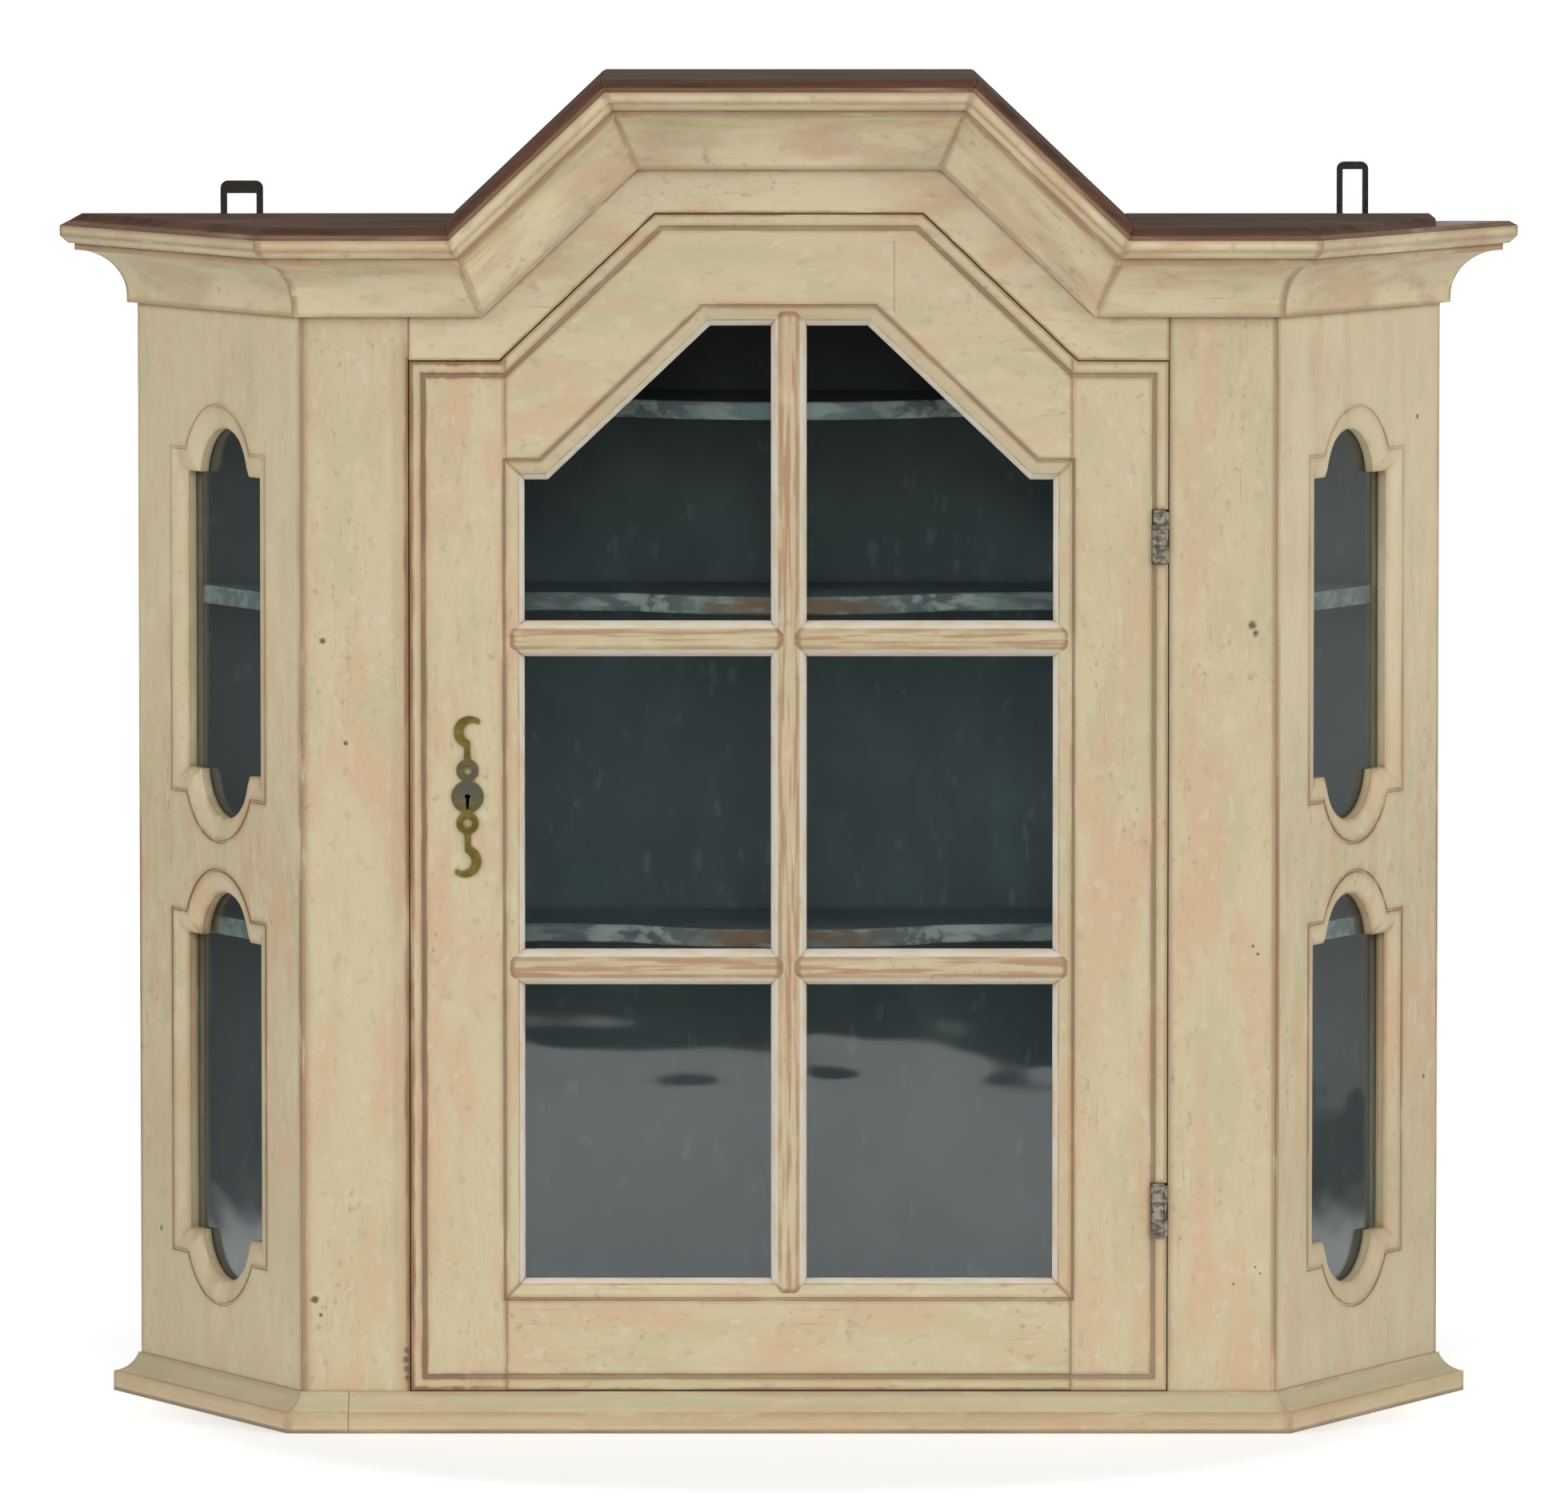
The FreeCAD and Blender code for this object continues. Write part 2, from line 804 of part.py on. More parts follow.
def cornice_profile(face):
    """Section of the cornice: small fillet, deep cove and a nose chamfered below and above."""
    fillet = face - size.cornice_fillet_projection
    cove_end = fillet - size.cornice_cove_radius
    cove_top = size.cornice_fillet_height + size.cornice_cove_radius
    nose = face - size.cornice_projection
    diagonal = size.cornice_cove_radius * math.sqrt(2) / 2
    nose_foot = cove_top + size.cornice_step
    return [
        (face, ZERO),
        (fillet, ZERO),
        (fillet, size.cornice_fillet_height),
        ((cove_end + diagonal, size.cornice_fillet_height + diagonal), (cove_end, cove_top)),
        (cove_end, nose_foot),
        (nose + size.cornice_nose_chamfer, nose_foot),
        (nose, nose_foot + size.cornice_nose_chamfer),
        (nose, size.cornice_height - size.cornice_bevel_height),
        (nose + size.cornice_bevel_width, size.cornice_height),
        (face, size.cornice_height),
    ]


def roof_profile(face, depth):
    """Section of a roof board, whose bevelled edge carries on the cornice's own bevel."""
    edge = face - size.cornice_projection + size.cornice_bevel_width
    return [
        (edge, size.cornice_height),
        (edge + size.roof_bevel_width, size.cornice_height + size.roof_thickness),
        (face + depth, size.cornice_height + size.roof_thickness),
        (face + depth, size.cornice_height),
    ]


def base_profile(face):
    """Section of the base moulding: upright nose and a shallow cove above it."""
    nose = face - size.base_projection
    lip = face - size.base_lip
    middle_out = (nose + lip) / 2 + size.base_cove_sag
    middle_up = (size.base_nose_height + size.bottom_thickness) / 2 - size.base_cove_sag
    return [
        (face, ZERO),
        (nose, ZERO),
        (nose, size.base_nose_height),
        ((middle_out, middle_up), (lip, size.bottom_thickness)),
        (face, size.bottom_thickness),
    ]


def front_block(name, projection, height):
    """Plan block of a front moulding, mitred at both front corners."""
    reach = projection * 2
    half = [
        (size.front_half_width, FRONT),
        (size.front_half_width + reach * CANT_MITRE, FRONT - reach),
    ]
    outline = [(-u, v) for u, v in reversed(half)] + half
    return prism(name, "XY_Plane", -size.overrun, height, [outline])


def side_block(name, projection, height, sign):
    """Plan block of a side moulding, from the front mitre to the wall."""
    reach = projection * 2
    far = size.back_half_width + reach * 2
    outline = [
        (size.front_half_width, FRONT),
        (size.front_half_width + reach * CANT_MITRE, FRONT - reach),
        (far, FRONT - reach),
        (far, WALL),
        (size.back_half_width, WALL),
    ]
    return prism(name, "XY_Plane", -size.overrun, height, [mirror(outline, sign)])


def side_moulding(name, profile, projection, level, sign, height):
    """A moulding along a canted side, cut by the front mitre and the wall."""
    reach = projection * 2
    start = -reach if sign > 0 else -(CANT_LENGTH + reach)
    body = prism(f"{name}_run", "YZ_Plane", start, CANT_LENGTH + reach * 2, [profile])
    place(body, size.front_half_width * sign, FRONT, level, CANT_ANGLE * sign)
    block = side_block(f"{name}_block", projection, height, sign)
    return keep(name, common(f"{name}_piece", body, block))


def build_mouldings():
    tall = TOP_HEIGHT + size.overrun * 2
    shoulder_level = door_arch(CORNICE_OFFSET)[1][1]
    front = front_block("Cornice_front_block", size.cornice_projection, tall)
    arch_member("cornice_top", cornice_profile(FRONT), "top")
    for side, sign in SIDES:
        arch_member(f"cornice_slope_{side}", cornice_profile(FRONT), f"slope_{side}")
        arch_member(
            f"cornice_shoulder_{side}", cornice_profile(FRONT), f"shoulder_{side}", (front,)
        )
        side_moulding(
            f"cornice_side_{side}", cornice_profile(ZERO), size.cornice_projection,
            shoulder_level, sign, tall,
        )
        side_moulding(
            f"base_moulding_{side}", base_profile(ZERO), size.base_projection, ZERO, sign,
            size.bottom_thickness + size.overrun * 2,
        )
    reach = size.front_half_width + size.base_projection * 2
    run = prism("Base_front_run", "YZ_Plane", -reach, reach * 2, [base_profile(FRONT)])
    block = front_block(
        "Base_front_block", size.base_projection, size.bottom_thickness + size.overrun * 2
    )
    keep("base_moulding_front", common("Base_front", run, block))


# Roof of five thin boards over the arch

def roof_end(side, sign, level):
    """The room that a shoulder board may fill: within the cant's bevel and its sawn end."""
    run = size.back_half_width
    body = prism(
        f"Roof_end_{side}_run", "YZ_Plane", -run, run * 2,
        [roof_profile(ZERO, size.back_half_width)],
    )
    place(body, size.front_half_width * sign, FRONT, level, CANT_ANGLE * sign)
    overhang = {"left": size.cornice_projection * 2, "right": -size.right_roof_trim}[side]
    plan = box_outline(
        ZERO, FRONT - size.cornice_projection, size.back_half_width + overhang, WALL
    )
    room = prism(f"Roof_end_{side}_room", "XY_Plane", ZERO, TOP_HEIGHT, [mirror(plan, sign)])
    return common(f"Roof_end_{side}", body, room)


def build_roof(recesses):
    spring = door_arch(CORNICE_OFFSET)[1]
    profile = roof_profile(FRONT, size.carcass_depth)
    arch_member("roof_board_top", profile, "top")
    for side, sign in SIDES:
        arch_member(f"roof_board_slope_{side}", profile, f"slope_{side}")
        reach = size.back_half_width + size.cornice_projection
        run = prism(f"Roof_shoulder_{side}_run", "YZ_Plane", -reach, reach * 2, [profile])
        place(run, ZERO, ZERO, spring[1])
        end = roof_end(side, sign, spring[1])
        mitred = common(f"Roof_shoulder_{side}_mitred", run, end, regions[f"shoulder_{side}"])
        keep(
            f"roof_board_shoulder_{side}",
            cut(f"Roof_shoulder_{side}", mitred, recesses[side]),
        )


# Shelves with a serpentine front edge

def build_shelves():
    back = size.carcass_depth - size.back_thickness
    end = size.shelf_end_setback
    half = [
        (side_inside(back), BACK_INSIDE),
        (side_inside(end), FRONT + end),
        (
            (size.shelf_bay_half_width, FRONT + size.shelf_bay_setback),
            (size.shelf_cusp_half_width, FRONT + size.shelf_cusp_setback),
        ),
    ]
    bow = (
        (ZERO, FRONT + size.shelf_bow_setback),
        (-size.shelf_cusp_half_width, FRONT + size.shelf_cusp_setback),
    )
    left = [
        (
            (-size.shelf_bay_half_width, FRONT + size.shelf_bay_setback),
            (-side_inside(end), FRONT + end),
        ),
        (-side_inside(back), BACK_INSIDE),
    ]
    outline = half + [bow] + left
    for level in ("top", "middle", "bottom"):
        top = getattr(size, f"{level}_shelf_height")
        keep(
            f"shelf_{level}",
            prism(
                f"Shelf_{level}", "XY_Plane", top - size.shelf_thickness, size.shelf_thickness,
                [outline],
            ),
        )


# Door frame, made as one blank and parted at its real joints

HINGE_X = size.door_half_width - size.hinge_inset
HINGE_LEVELS = {"upper": size.upper_hinge_height, "lower": size.lower_hinge_height}


def keyhole_outline(centre):
    """A round hole with a narrow slot below it."""
    half = size.keyhole_slot_width / 2
    shoulder = (size.keyhole_radius * size.keyhole_radius - half * half).root()
    level = size.lock_height
    return [
        (centre + half, level - size.keyhole_drop),
        (centre + half, level - shoulder),
        ((centre, level + size.keyhole_radius), (centre - half, level - shoulder)),
        (centre - half, level - size.keyhole_drop),
    ]


def build_door_blank():
    body = new_body("Door_blank")
    add_pad(
        body, "Door_blank_pad", "XZ_Plane", FRONT, size.frame_thickness, [door_outline(ZERO)]
    )
    sunk_moulding(
        body, "Door_sight", lambda offset: sight_outline(Size.of(offset)), FRONT,
        size.ovolo_width, size.ovolo_crown_width, size.ovolo_crown_depth, size.ovolo_depth,
    )
    add_pocket(
        body, "Door_hole", "XZ_Plane", FRONT, size.frame_thickness, [sight_outline(ZERO)]
    )
    add_pocket(
        body, "Door_rebate", "XZ_Plane", FRONT + size.glass_setback,
        size.frame_thickness - size.glass_setback, [sight_outline(size.rebate_width)],
    )
    add_pocket(
        body, "Door_bead_groove", "XZ_Plane", FRONT, size.bead_groove_depth,
        [
            door_outline(-size.bead_width),
            door_outline(-(size.bead_width + size.bead_groove_width)),
        ],
    )
    add_pocket(
        body, "Door_keyhole", "XZ_Plane", FRONT, size.frame_thickness,
        [keyhole_outline(-size.lock_centre)],
    )
    notch = size.hinge_barrel_radius + size.hinge_clearance
    edge = size.door_half_width
    outline = [
        (HINGE_X - notch, FRONT - size.overrun),
        (edge + size.overrun, FRONT - size.overrun),
        (edge + size.overrun, FRONT + size.hinge_leaf_reach),
        (edge - size.hinge_leaf_thickness, FRONT + size.hinge_leaf_reach),
        (edge - size.hinge_leaf_thickness, FRONT + notch),
        (HINGE_X - notch, FRONT + notch),
    ]
    height = size.hinge_height + size.hinge_leaf_thickness + size.hinge_clearance * 2
    for name, level in HINGE_LEVELS.items():
        foot = level - size.hinge_height / 2 - size.hinge_clearance
        add_pocket(body, f"Door_hinge_notch_{name}", "XY_Plane", foot, height, [outline])
    return body


def build_door_frame(blank):
    outer = size.door_half_width + size.overrun
    joint = size.sight_half_width + size.ovolo_width
    sight = size.sight_half_width
    low = DOOR_BOTTOM - size.overrun
    high = size.door_top_height + size.overrun
    rail_top = size.sight_bottom_height
    rail_joint = rail_top - size.ovolo_width
    arch_foot = size.sight_shoulder_height
    arch_joint = arch_foot + size.ovolo_width
    start = FRONT - size.overrun
    depth = size.frame_thickness + size.overrun * 2
    stile = [
        (outer, low), (outer, high), (joint, high), (joint, arch_joint), (sight, arch_foot),
        (sight - size.overrun, arch_foot), (sight - size.overrun, rail_top), (sight, rail_top),
        (joint, rail_joint), (joint, low),
    ]
    for name, sign in (("door_stile_lock", -1), ("door_stile_hinge", 1)):
        region = prism(f"{name}_region", "XZ_Plane", start, depth, [mirror(stile, sign)])
        keep(name, common(f"{name}_piece", blank, region))
    rail = [
        (-joint, low), (joint, low), (joint, rail_joint), (sight, rail_top), (-sight, rail_top),
        (-joint, rail_joint),
    ]
    region = prism("door_bottom_rail_region", "XZ_Plane", start, depth, [rail])
    keep("door_bottom_rail", common("door_bottom_rail_piece", blank, region))
    arch = [
        (-joint, high), (joint, high), (joint, arch_joint), (sight, arch_foot),
        (-sight, arch_foot), (-joint, arch_joint),
    ]
    region = prism("door_arch_rail_region", "XZ_Plane", start, depth, [arch])
    keep("door_arch_rail", common("door_arch_rail_piece", blank, region))


# Glazing bars: a moulded nose in front of the glass and a thin tongue between the panes

def bar_half_profile():
    """Half section of a bar as steps out from its middle and back from the door's face."""
    crown = size.bar_nose_width / 2
    wing = size.bar_width / 2
    tongue = size.bar_tongue_width / 2
    shoulder = (crown + wing) / 2 + size.bar_recess
    return [
        (crown, size.bar_recess),
        ((shoulder, size.ovolo_crown_depth), (wing, size.ovolo_depth)),
        (wing, size.glass_setback),
        (tongue, size.glass_setback),
        (tongue, size.bar_tongue_reach),
    ]


def bar_profile(swapped):
    """Whole section of a bar, as (across, depth) or as (depth, across)."""
    right = bar_half_profile()
    ends = [item[1] if isinstance(item[0], tuple) else item for item in right]
    middle = next(item[0] for item in right if isinstance(item[0], tuple))
    left = [(-across, depth) for across, depth in reversed(ends)]
    outline = [right[0], right[1]] + right[2:] + left[:3]
    outline.append((left[3][0], left[3][1]))
    outline.append(((-middle[0], middle[1]), left[4]))

    def turned(point):
        across, depth = point
        return (FRONT + depth, across) if swapped else (across, FRONT + depth)

    return [
        (turned(item[0]), turned(item[1])) if isinstance(item[0], tuple) else turned(item)
        for item in outline
    ]


def build_bars(blank):
    low = size.sight_bottom_height - size.ovolo_width
    high = size.sight_top_height + size.ovolo_width
    upright = prism("Upright_bar_blank", "XY_Plane", low, high - low, [bar_profile(False)])
    keep("glazing_bar_upright", cut("Upright_bar", upright, blank))
    half = size.sight_half_width + size.ovolo_width
    for name, level in (("upper", size.upper_bar_height), ("lower", size.lower_bar_height)):
        run = prism(f"Cross_bar_{name}_blank", "YZ_Plane", -half, half * 2, [bar_profile(True)])
        place(run, ZERO, ZERO, level)
        keep(f"glazing_bar_{name}", cut(f"Cross_bar_{name}", run, blank, upright))


# Panes in three rows of two, with a strip of putty behind the edges of each

def pane_half(row, inset):
    """The right-hand pane of a row, drawn in by an inset."""
    edge = size.bar_tongue_width / 2 + size.pane_play + inset
    fit = size.rebate_width - size.pane_play - inset
    side = size.sight_half_width + fit
    between = size.bar_tongue_width / 2 + size.pane_play + inset
    if row == "bottom":
        low, high = size.sight_bottom_height - fit, size.lower_bar_height - between
    else:
        low, high = size.lower_bar_height + between, size.upper_bar_height - between
    if row == "top":
        arch = sight_arch(fit)
        return [
            (edge, size.upper_bar_height + between), (side, size.upper_bar_height + between),
            *arch, (edge, size.sight_top_height + fit),
        ]
    return box_outline(edge, low, side, high)


def build_panes():
    putty = []
    for row in ("top", "middle", "bottom"):
        outlines = [mirror(pane_half(row, ZERO), sign) for _, sign in SIDES]
        keep(
            f"door_panes_{row}",
            prism(
                f"Door_panes_{row}", "XZ_Plane", FRONT + size.glass_setback,
                size.glass_thickness, outlines,
            ),
        )
        inner = [mirror(pane_half(row, size.putty_width), sign) for _, sign in SIDES]
        putty.append(
            prism(
                f"Door_putty_{row}", "XZ_Plane",
                FRONT + size.glass_setback + size.glass_thickness, size.putty_depth,
                outlines + inner,
            )
        )
    keep("door_putty", group("Door_putty", putty))


# Hinges: three knuckles on a fixed pin, the middle one on the door's leaf

def build_hinges():
    pins = []
    radius = size.hinge_barrel_radius
    bore = size.hinge_pin_radius + size.hinge_pin_fit
    edge = size.door_half_width
    knuckle = (size.hinge_height - size.hinge_knuckle_gap * 2) / HINGE_KNUCKLES
    centre = (HINGE_X, FRONT)
    start = FRONT + radius + size.hinge_clearance
    door_plate = box_outline(
        edge - size.hinge_leaf_thickness, start, edge, FRONT + size.hinge_leaf_reach
    )
    door_neck = box_outline(HINGE_X, FRONT, edge, start)
    door_neck[3] = (edge - size.hinge_leaf_thickness, start)
    frame_plate = box_outline(
        edge + size.hinge_leaf_play, FRONT, FRAME_HALF, FRONT + size.hinge_leaf_reach
    )
    frame_neck = box_outline(HINGE_X, FRONT, FRAME_HALF, FRONT + size.hinge_leaf_thickness)
    for name, level in HINGE_LEVELS.items():
        foot = level - size.hinge_height / 2
        middle = foot + knuckle + size.hinge_knuckle_gap
        last = middle + knuckle + size.hinge_knuckle_gap
        for leaf, plate, neck, places in (
            ("frame", frame_plate, frame_neck, (foot, last)),
            ("door", door_plate, door_neck, (middle,)),
        ):
            body = new_body(f"Hinge_{leaf}_{name}")
            label = f"Hinge_{leaf}_{name}"
            add_pad(body, f"{label}_plate", "XY_Plane", foot, size.hinge_height, [plate])
            for index, low in enumerate(places):
                add_pad(body, f"{label}_neck{index}", "XY_Plane", low, knuckle, [neck])
                add_pad(
                    body, f"{label}_knuckle{index}", "XY_Plane", low, knuckle, [],
                    [(centre, radius)],
                )
                add_pocket(
                    body, f"{label}_bore{index}", "XY_Plane", low, knuckle, [],
                    [(centre, bore)],
                )
            keep(f"hinge_leaf_{leaf}_{name}", body)
        shank = cylinder(
            f"Hinge_pin_{name}", HINGE_X, FRONT, foot, size.hinge_pin_radius, size.hinge_height
        )
        cap_radius = size.hinge_barrel_radius - size.hinge_clearance
        head = cylinder(
            f"Hinge_pin_head_{name}", HINGE_X, FRONT, foot + size.hinge_height, cap_radius,
            size.hinge_leaf_thickness,
        )
        pins.append(fuse(f"Hinge_pin_whole_{name}", shank, head))
    keep("hinge_pins", group("Hinge_pins", pins))


# Lock: an iron case on the back of the stile, with a bolt that runs behind the frame

LOCK_BACK = FRONT + size.frame_thickness
BOLT_FRONT = LOCK_BACK + size.strike_thickness + size.bolt_play
CASE_INNER = size.lock_case_edge - size.lock_case_width
BOLT_TIP = size.lock_case_edge + size.bolt_nose
BOLT_FOOT = size.lock_height + size.bolt_drop


def build_lock():
    half = size.lock_case_height / 2
    wall = size.lock_wall
    low, high = size.lock_height - half, size.lock_height + half
    case = new_body("Lock_case")
    add_pad(
        case, "Lock_case_pad", "XZ_Plane", LOCK_BACK, size.lock_case_depth,
        [box_outline(-size.lock_case_edge, low, -CASE_INNER, high)],
    )
    add_pocket(
        case, "Lock_case_hollow", "XZ_Plane", LOCK_BACK, size.lock_case_depth - wall,
        [box_outline(wall - size.lock_case_edge, low + wall, -(CASE_INNER + wall), high - wall)],
    )
    slot_low = BOLT_FOOT - size.bolt_play
    slot_high = BOLT_FOOT + size.bolt_height + size.bolt_play
    slot_back = BOLT_FRONT + size.bolt_thickness + size.bolt_play
    add_pocket(
        case, "Lock_case_slot", "YZ_Plane", -(size.lock_case_edge + size.overrun),
        size.overrun + wall * 2, [box_outline(LOCK_BACK, slot_low, slot_back, slot_high)],
    )
    post = cylinder(
        "Lock_post", -size.lock_centre, LOCK_BACK + size.lock_case_depth - wall, size.lock_height,
        size.lock_post_radius, size.lock_case_depth - wall, SIDEWAYS, QUARTER_TURN,
    )
    keep("lock_case", fuse("Lock_case_whole", case, post))

    tail = BOLT_TIP - size.bolt_length
    talon = size.lock_centre
    half_talon = size.talon_width / 2
    bolt = [
        (-BOLT_TIP, BOLT_FOOT),
        (-(talon + half_talon), BOLT_FOOT),
        (-(talon + half_talon), BOLT_FOOT + size.talon_height),
        (-(talon - half_talon), BOLT_FOOT + size.talon_height),
        (-(talon - half_talon), BOLT_FOOT),
        (-tail, BOLT_FOOT),
        (-tail, BOLT_FOOT + size.bolt_height),
        (-BOLT_TIP, BOLT_FOOT + size.bolt_height),
    ]
    keep("lock_bolt", prism("Lock_bolt", "XZ_Plane", BOLT_FRONT, size.bolt_thickness, [bolt]))

    foot = BOLT_FOOT + size.bolt_height + size.bolt_play
    ceiling = high - wall
    inset = wall + size.spring_inset
    spring_left = size.lock_case_edge - inset
    spring_right = CASE_INNER + inset
    middle = (spring_left + spring_right) / 2
    thick = size.spring_thickness
    spring = [
        (-spring_left, ceiling - thick),
        ((-middle, foot), (-spring_right, ceiling - thick)),
        (-spring_right, ceiling),
        ((-middle, foot + thick), (-spring_left, ceiling)),
    ]
    keep(
        "lock_spring",
        prism("Lock_spring", "XZ_Plane", BOLT_FRONT, size.spring_width, [spring]),
    )

    strike_half = size.strike_height / 2
    near = FRAME_HALF + size.strike_edge
    keep(
        "strike_plate",
        prism(
            "Strike_plate", "XZ_Plane", LOCK_BACK, size.strike_thickness,
            [
                box_outline(
                    -(near + size.strike_width), size.lock_height - strike_half,
                    -near, size.lock_height + strike_half,
                )
            ],
        ),
    )


# Pierced escutcheon: a ring round the keyhole, two small rings and two opposed hooks

def hook_outline(centre, level, foot, side):
    """A crescent and its stem; the lower hook is the upper one turned half round."""
    outer_u = centre + size.hook_lean * side
    inner_u = outer_u + size.hook_hollow_lean * side
    middle_v = level + (size.plate_half_height - size.hook_radius) * side
    half = size.plate_stem_width / 2 * side
    tip, end = size.hook_tip_angle, size.hook_foot_angle
    between = (tip + end) / 2

    def spot(middle_u, radius, angle):
        reach = radius * side
        return (middle_u + angle.cosine() * reach, middle_v + angle.sine() * reach)

    outer, hollow = size.hook_radius, size.hook_hollow_radius
    return [
        spot(outer_u, outer, tip),
        (spot(outer_u, outer, between), spot(outer_u, outer, end)),
        (centre - half, foot),
        (centre + half, foot),
        spot(inner_u, hollow, end),
        (spot(inner_u, hollow, between), spot(inner_u, hollow, tip)),
    ]


def build_escutcheon():
    centre = -size.lock_centre
    level = size.lock_height
    start = FRONT - size.plate_thickness
    thick = size.plate_thickness
    body = new_body("Escutcheon")
    add_pad(
        body, "Escutcheon_ring", "XZ_Plane", start, thick, [],
        [((centre, level), size.plate_ring_radius)],
    )
    for name, side in (("upper", 1), ("lower", -1)):
        small = level + size.plate_small_ring_place * side
        foot = small + size.plate_small_ring_hole * side
        add_pad(
            body, f"Escutcheon_small_{name}", "XZ_Plane", start, thick, [],
            [((centre, small), size.plate_small_ring_radius)],
        )
        add_pad(
            body, f"Escutcheon_hook_{name}", "XZ_Plane", start, thick,
            [hook_outline(centre, level, foot, side)],
        )
        add_pocket(
            body, f"Escutcheon_eye_{name}", "XZ_Plane", start, thick, [],
            [((centre, small), size.plate_small_ring_hole)],
        )
    add_pocket(
        body, "Escutcheon_keyhole", "XZ_Plane", start, thick, [keyhole_outline(centre)]
    )
    keep("escutcheon", body)


# Stops behind the lock side that the door shuts against

def build_stops():
    blocks = []
    near = FRAME_HALF - size.stop_overlap
    far = near + size.stop_width
    front = LOCK_BACK + size.stop_gap
    seat = LOCK_BACK
    for name, level in (("lower", size.lower_stop_height), ("upper", size.upper_stop_height)):
        outline = [
            (-far, seat),
            (-far, seat + size.stop_thickness),
            (-near, seat + size.stop_thickness),
            (-near, front),
            (-FRAME_HALF, front),
            (-FRAME_HALF, seat),
        ]
        foot = level - size.stop_height / 2
        blocks.append(prism(f"Stop_{name}", "XY_Plane", foot, size.stop_height, [outline]))
    keep("door_stops", group("Door_stops", blocks))


# Iron hangers: inverted loops let into the back, their bows above the roof

def build_hangers():
    radius = size.hanger_corner_radius
    bulge = radius * math.sqrt(2) / 2
    for side, sign in SIDES:
        middle, half, leg, bow, rise = HANGERS[side]
        foot = SHOULDER_HEIGHT - size.hanger_leg_drop
        crown = SHOULDER_HEIGHT + size.roof_thickness + rise
        near = middle - half + radius
        far = middle + half - radius
        turn = crown - radius
        outline = [
            (middle - half, foot),
            (middle - half, turn),
            ((near - bulge, turn + bulge), (near, crown)),
            (far, crown),
            ((far + bulge, turn + bulge), (middle + half, turn)),
            (middle + half, foot),
            (middle + half - leg, foot),
            (middle + half - leg, crown - bow),
            (middle - half + leg, crown - bow),
            (middle - half + leg, foot),
        ]
        keep(
            f"hanger_{side}",
            prism(
                f"Hanger_{side}", "XZ_Plane", WALL - size.hanger_thickness,
                size.hanger_thickness, [mirror(outline, sign)],
            ),
        )


# Nails, heads flush with the wood or iron that they hold

def nail(name, x, face, z, length, towards):
    """A nail along Y: its head starts at the face and its shank runs on from there."""
    turn = QUARTER_TURN * -towards
    head = cylinder(
        f"{name}_head", x, face, z, size.nail_head_radius, size.nail_head_thickness,
        SIDEWAYS, turn,
    )
    shank = cylinder(f"{name}_shank", x, face, z, size.nail_shank_radius, length, SIDEWAYS, turn)
    return fuse(name, head, shank)


def board_nails(rows):
    """Nails through the back boards into the bottom and the shelves."""
    spring = door_arch(ROOF_OFFSET)[1][0]
    columns = (
        ("inner", size.board_nail_inset),
        ("mid", spring - size.board_nail_inset),
        ("outer", spring + size.board_nail_inset),
    )
    return [
        nail(f"Nail_{side}_{row}_{column}", across * sign, WALL, level, size.nail_length, -1)
        for side, sign in SIDES
        for row, level in rows
        for column, across in columns
    ]


def hanger_nails():
    """Two flush nails through each leg of a hanger."""
    items = []
    drops = (
        ("high", size.hanger_leg_drop * size.hanger_nail_share),
        ("low", size.hanger_leg_drop * (1 - size.hanger_nail_share)),
    )
    for side, sign in SIDES:
        middle, half, leg, _, _ = HANGERS[side]
        for row, drop in drops:
            for end, towards in (("near", -1), ("far", 1)):
                x = (middle + (half - leg / 2) * towards) * sign
                items.append(
                    cylinder(
                        f"Hanger_nail_{side}_{row}_{end}", x, WALL, SHOULDER_HEIGHT - drop,
                        size.nail_shank_radius, size.short_nail_length, SIDEWAYS, QUARTER_TURN,
                    )
                )
    return items


def plate_pins():
    """Domed pins through the small rings of the escutcheon."""
    items = []
    x = -size.lock_centre
    face = FRONT - size.plate_thickness
    for name, side in (("upper", 1), ("lower", -1)):
        z = size.lock_height + size.plate_small_ring_place * side
        head = cylinder(
            f"Plate_pin_head_{name}", x, face, z, size.pin_head_radius, size.pin_head_height,
            SIDEWAYS, QUARTER_TURN,
        )
        shank = cylinder(
            f"Plate_pin_shank_{name}", x, face, z, size.pin_shank_radius,
            size.pin_shank_length, SIDEWAYS, -QUARTER_TURN,
        )
        items.append(fuse(f"Plate_pin_{name}", head, shank))
    return items


def build_nails():
    half_shelf = size.shelf_thickness / 2
    rows = (
        ("base", size.bottom_thickness / 2),
        ("low", size.bottom_shelf_height - half_shelf),
        ("middle", size.middle_shelf_height - half_shelf),
        ("high", size.top_shelf_height - half_shelf),
    )
    keep("back_nails", group("Back_nails", board_nails(rows) + hanger_nails()))

    x = size.front_half_width - size.stile_nail_inset
    face_rows = rows[1:3] + (("foot", size.lower_window_bottom + size.bottom_thickness),)
    face_nails = [
        nail(f"Stile_nail_{row}", x, FRONT, level, size.short_nail_length, 1)
        for row, level in face_rows
    ]
    keep("stile_nails", group("Stile_nails", face_nails))
    keep("escutcheon_pins", group("Plate_pins", plate_pins()))


regions = arch_regions()
seats = {side: hanger_recess(side, sign) for side, sign in SIDES}
build_bottom()
build_stiles()
build_frieze()
build_sides()
build_back(seats)
build_mouldings()
build_roof(seats)
build_shelves()
door_blank = build_door_blank()
build_door_frame(door_blank)
build_bars(door_blank)
build_panes()
build_hinges()
build_lock()
build_escutcheon()
build_stops()
build_hangers()
build_nails()
doc.recompute()

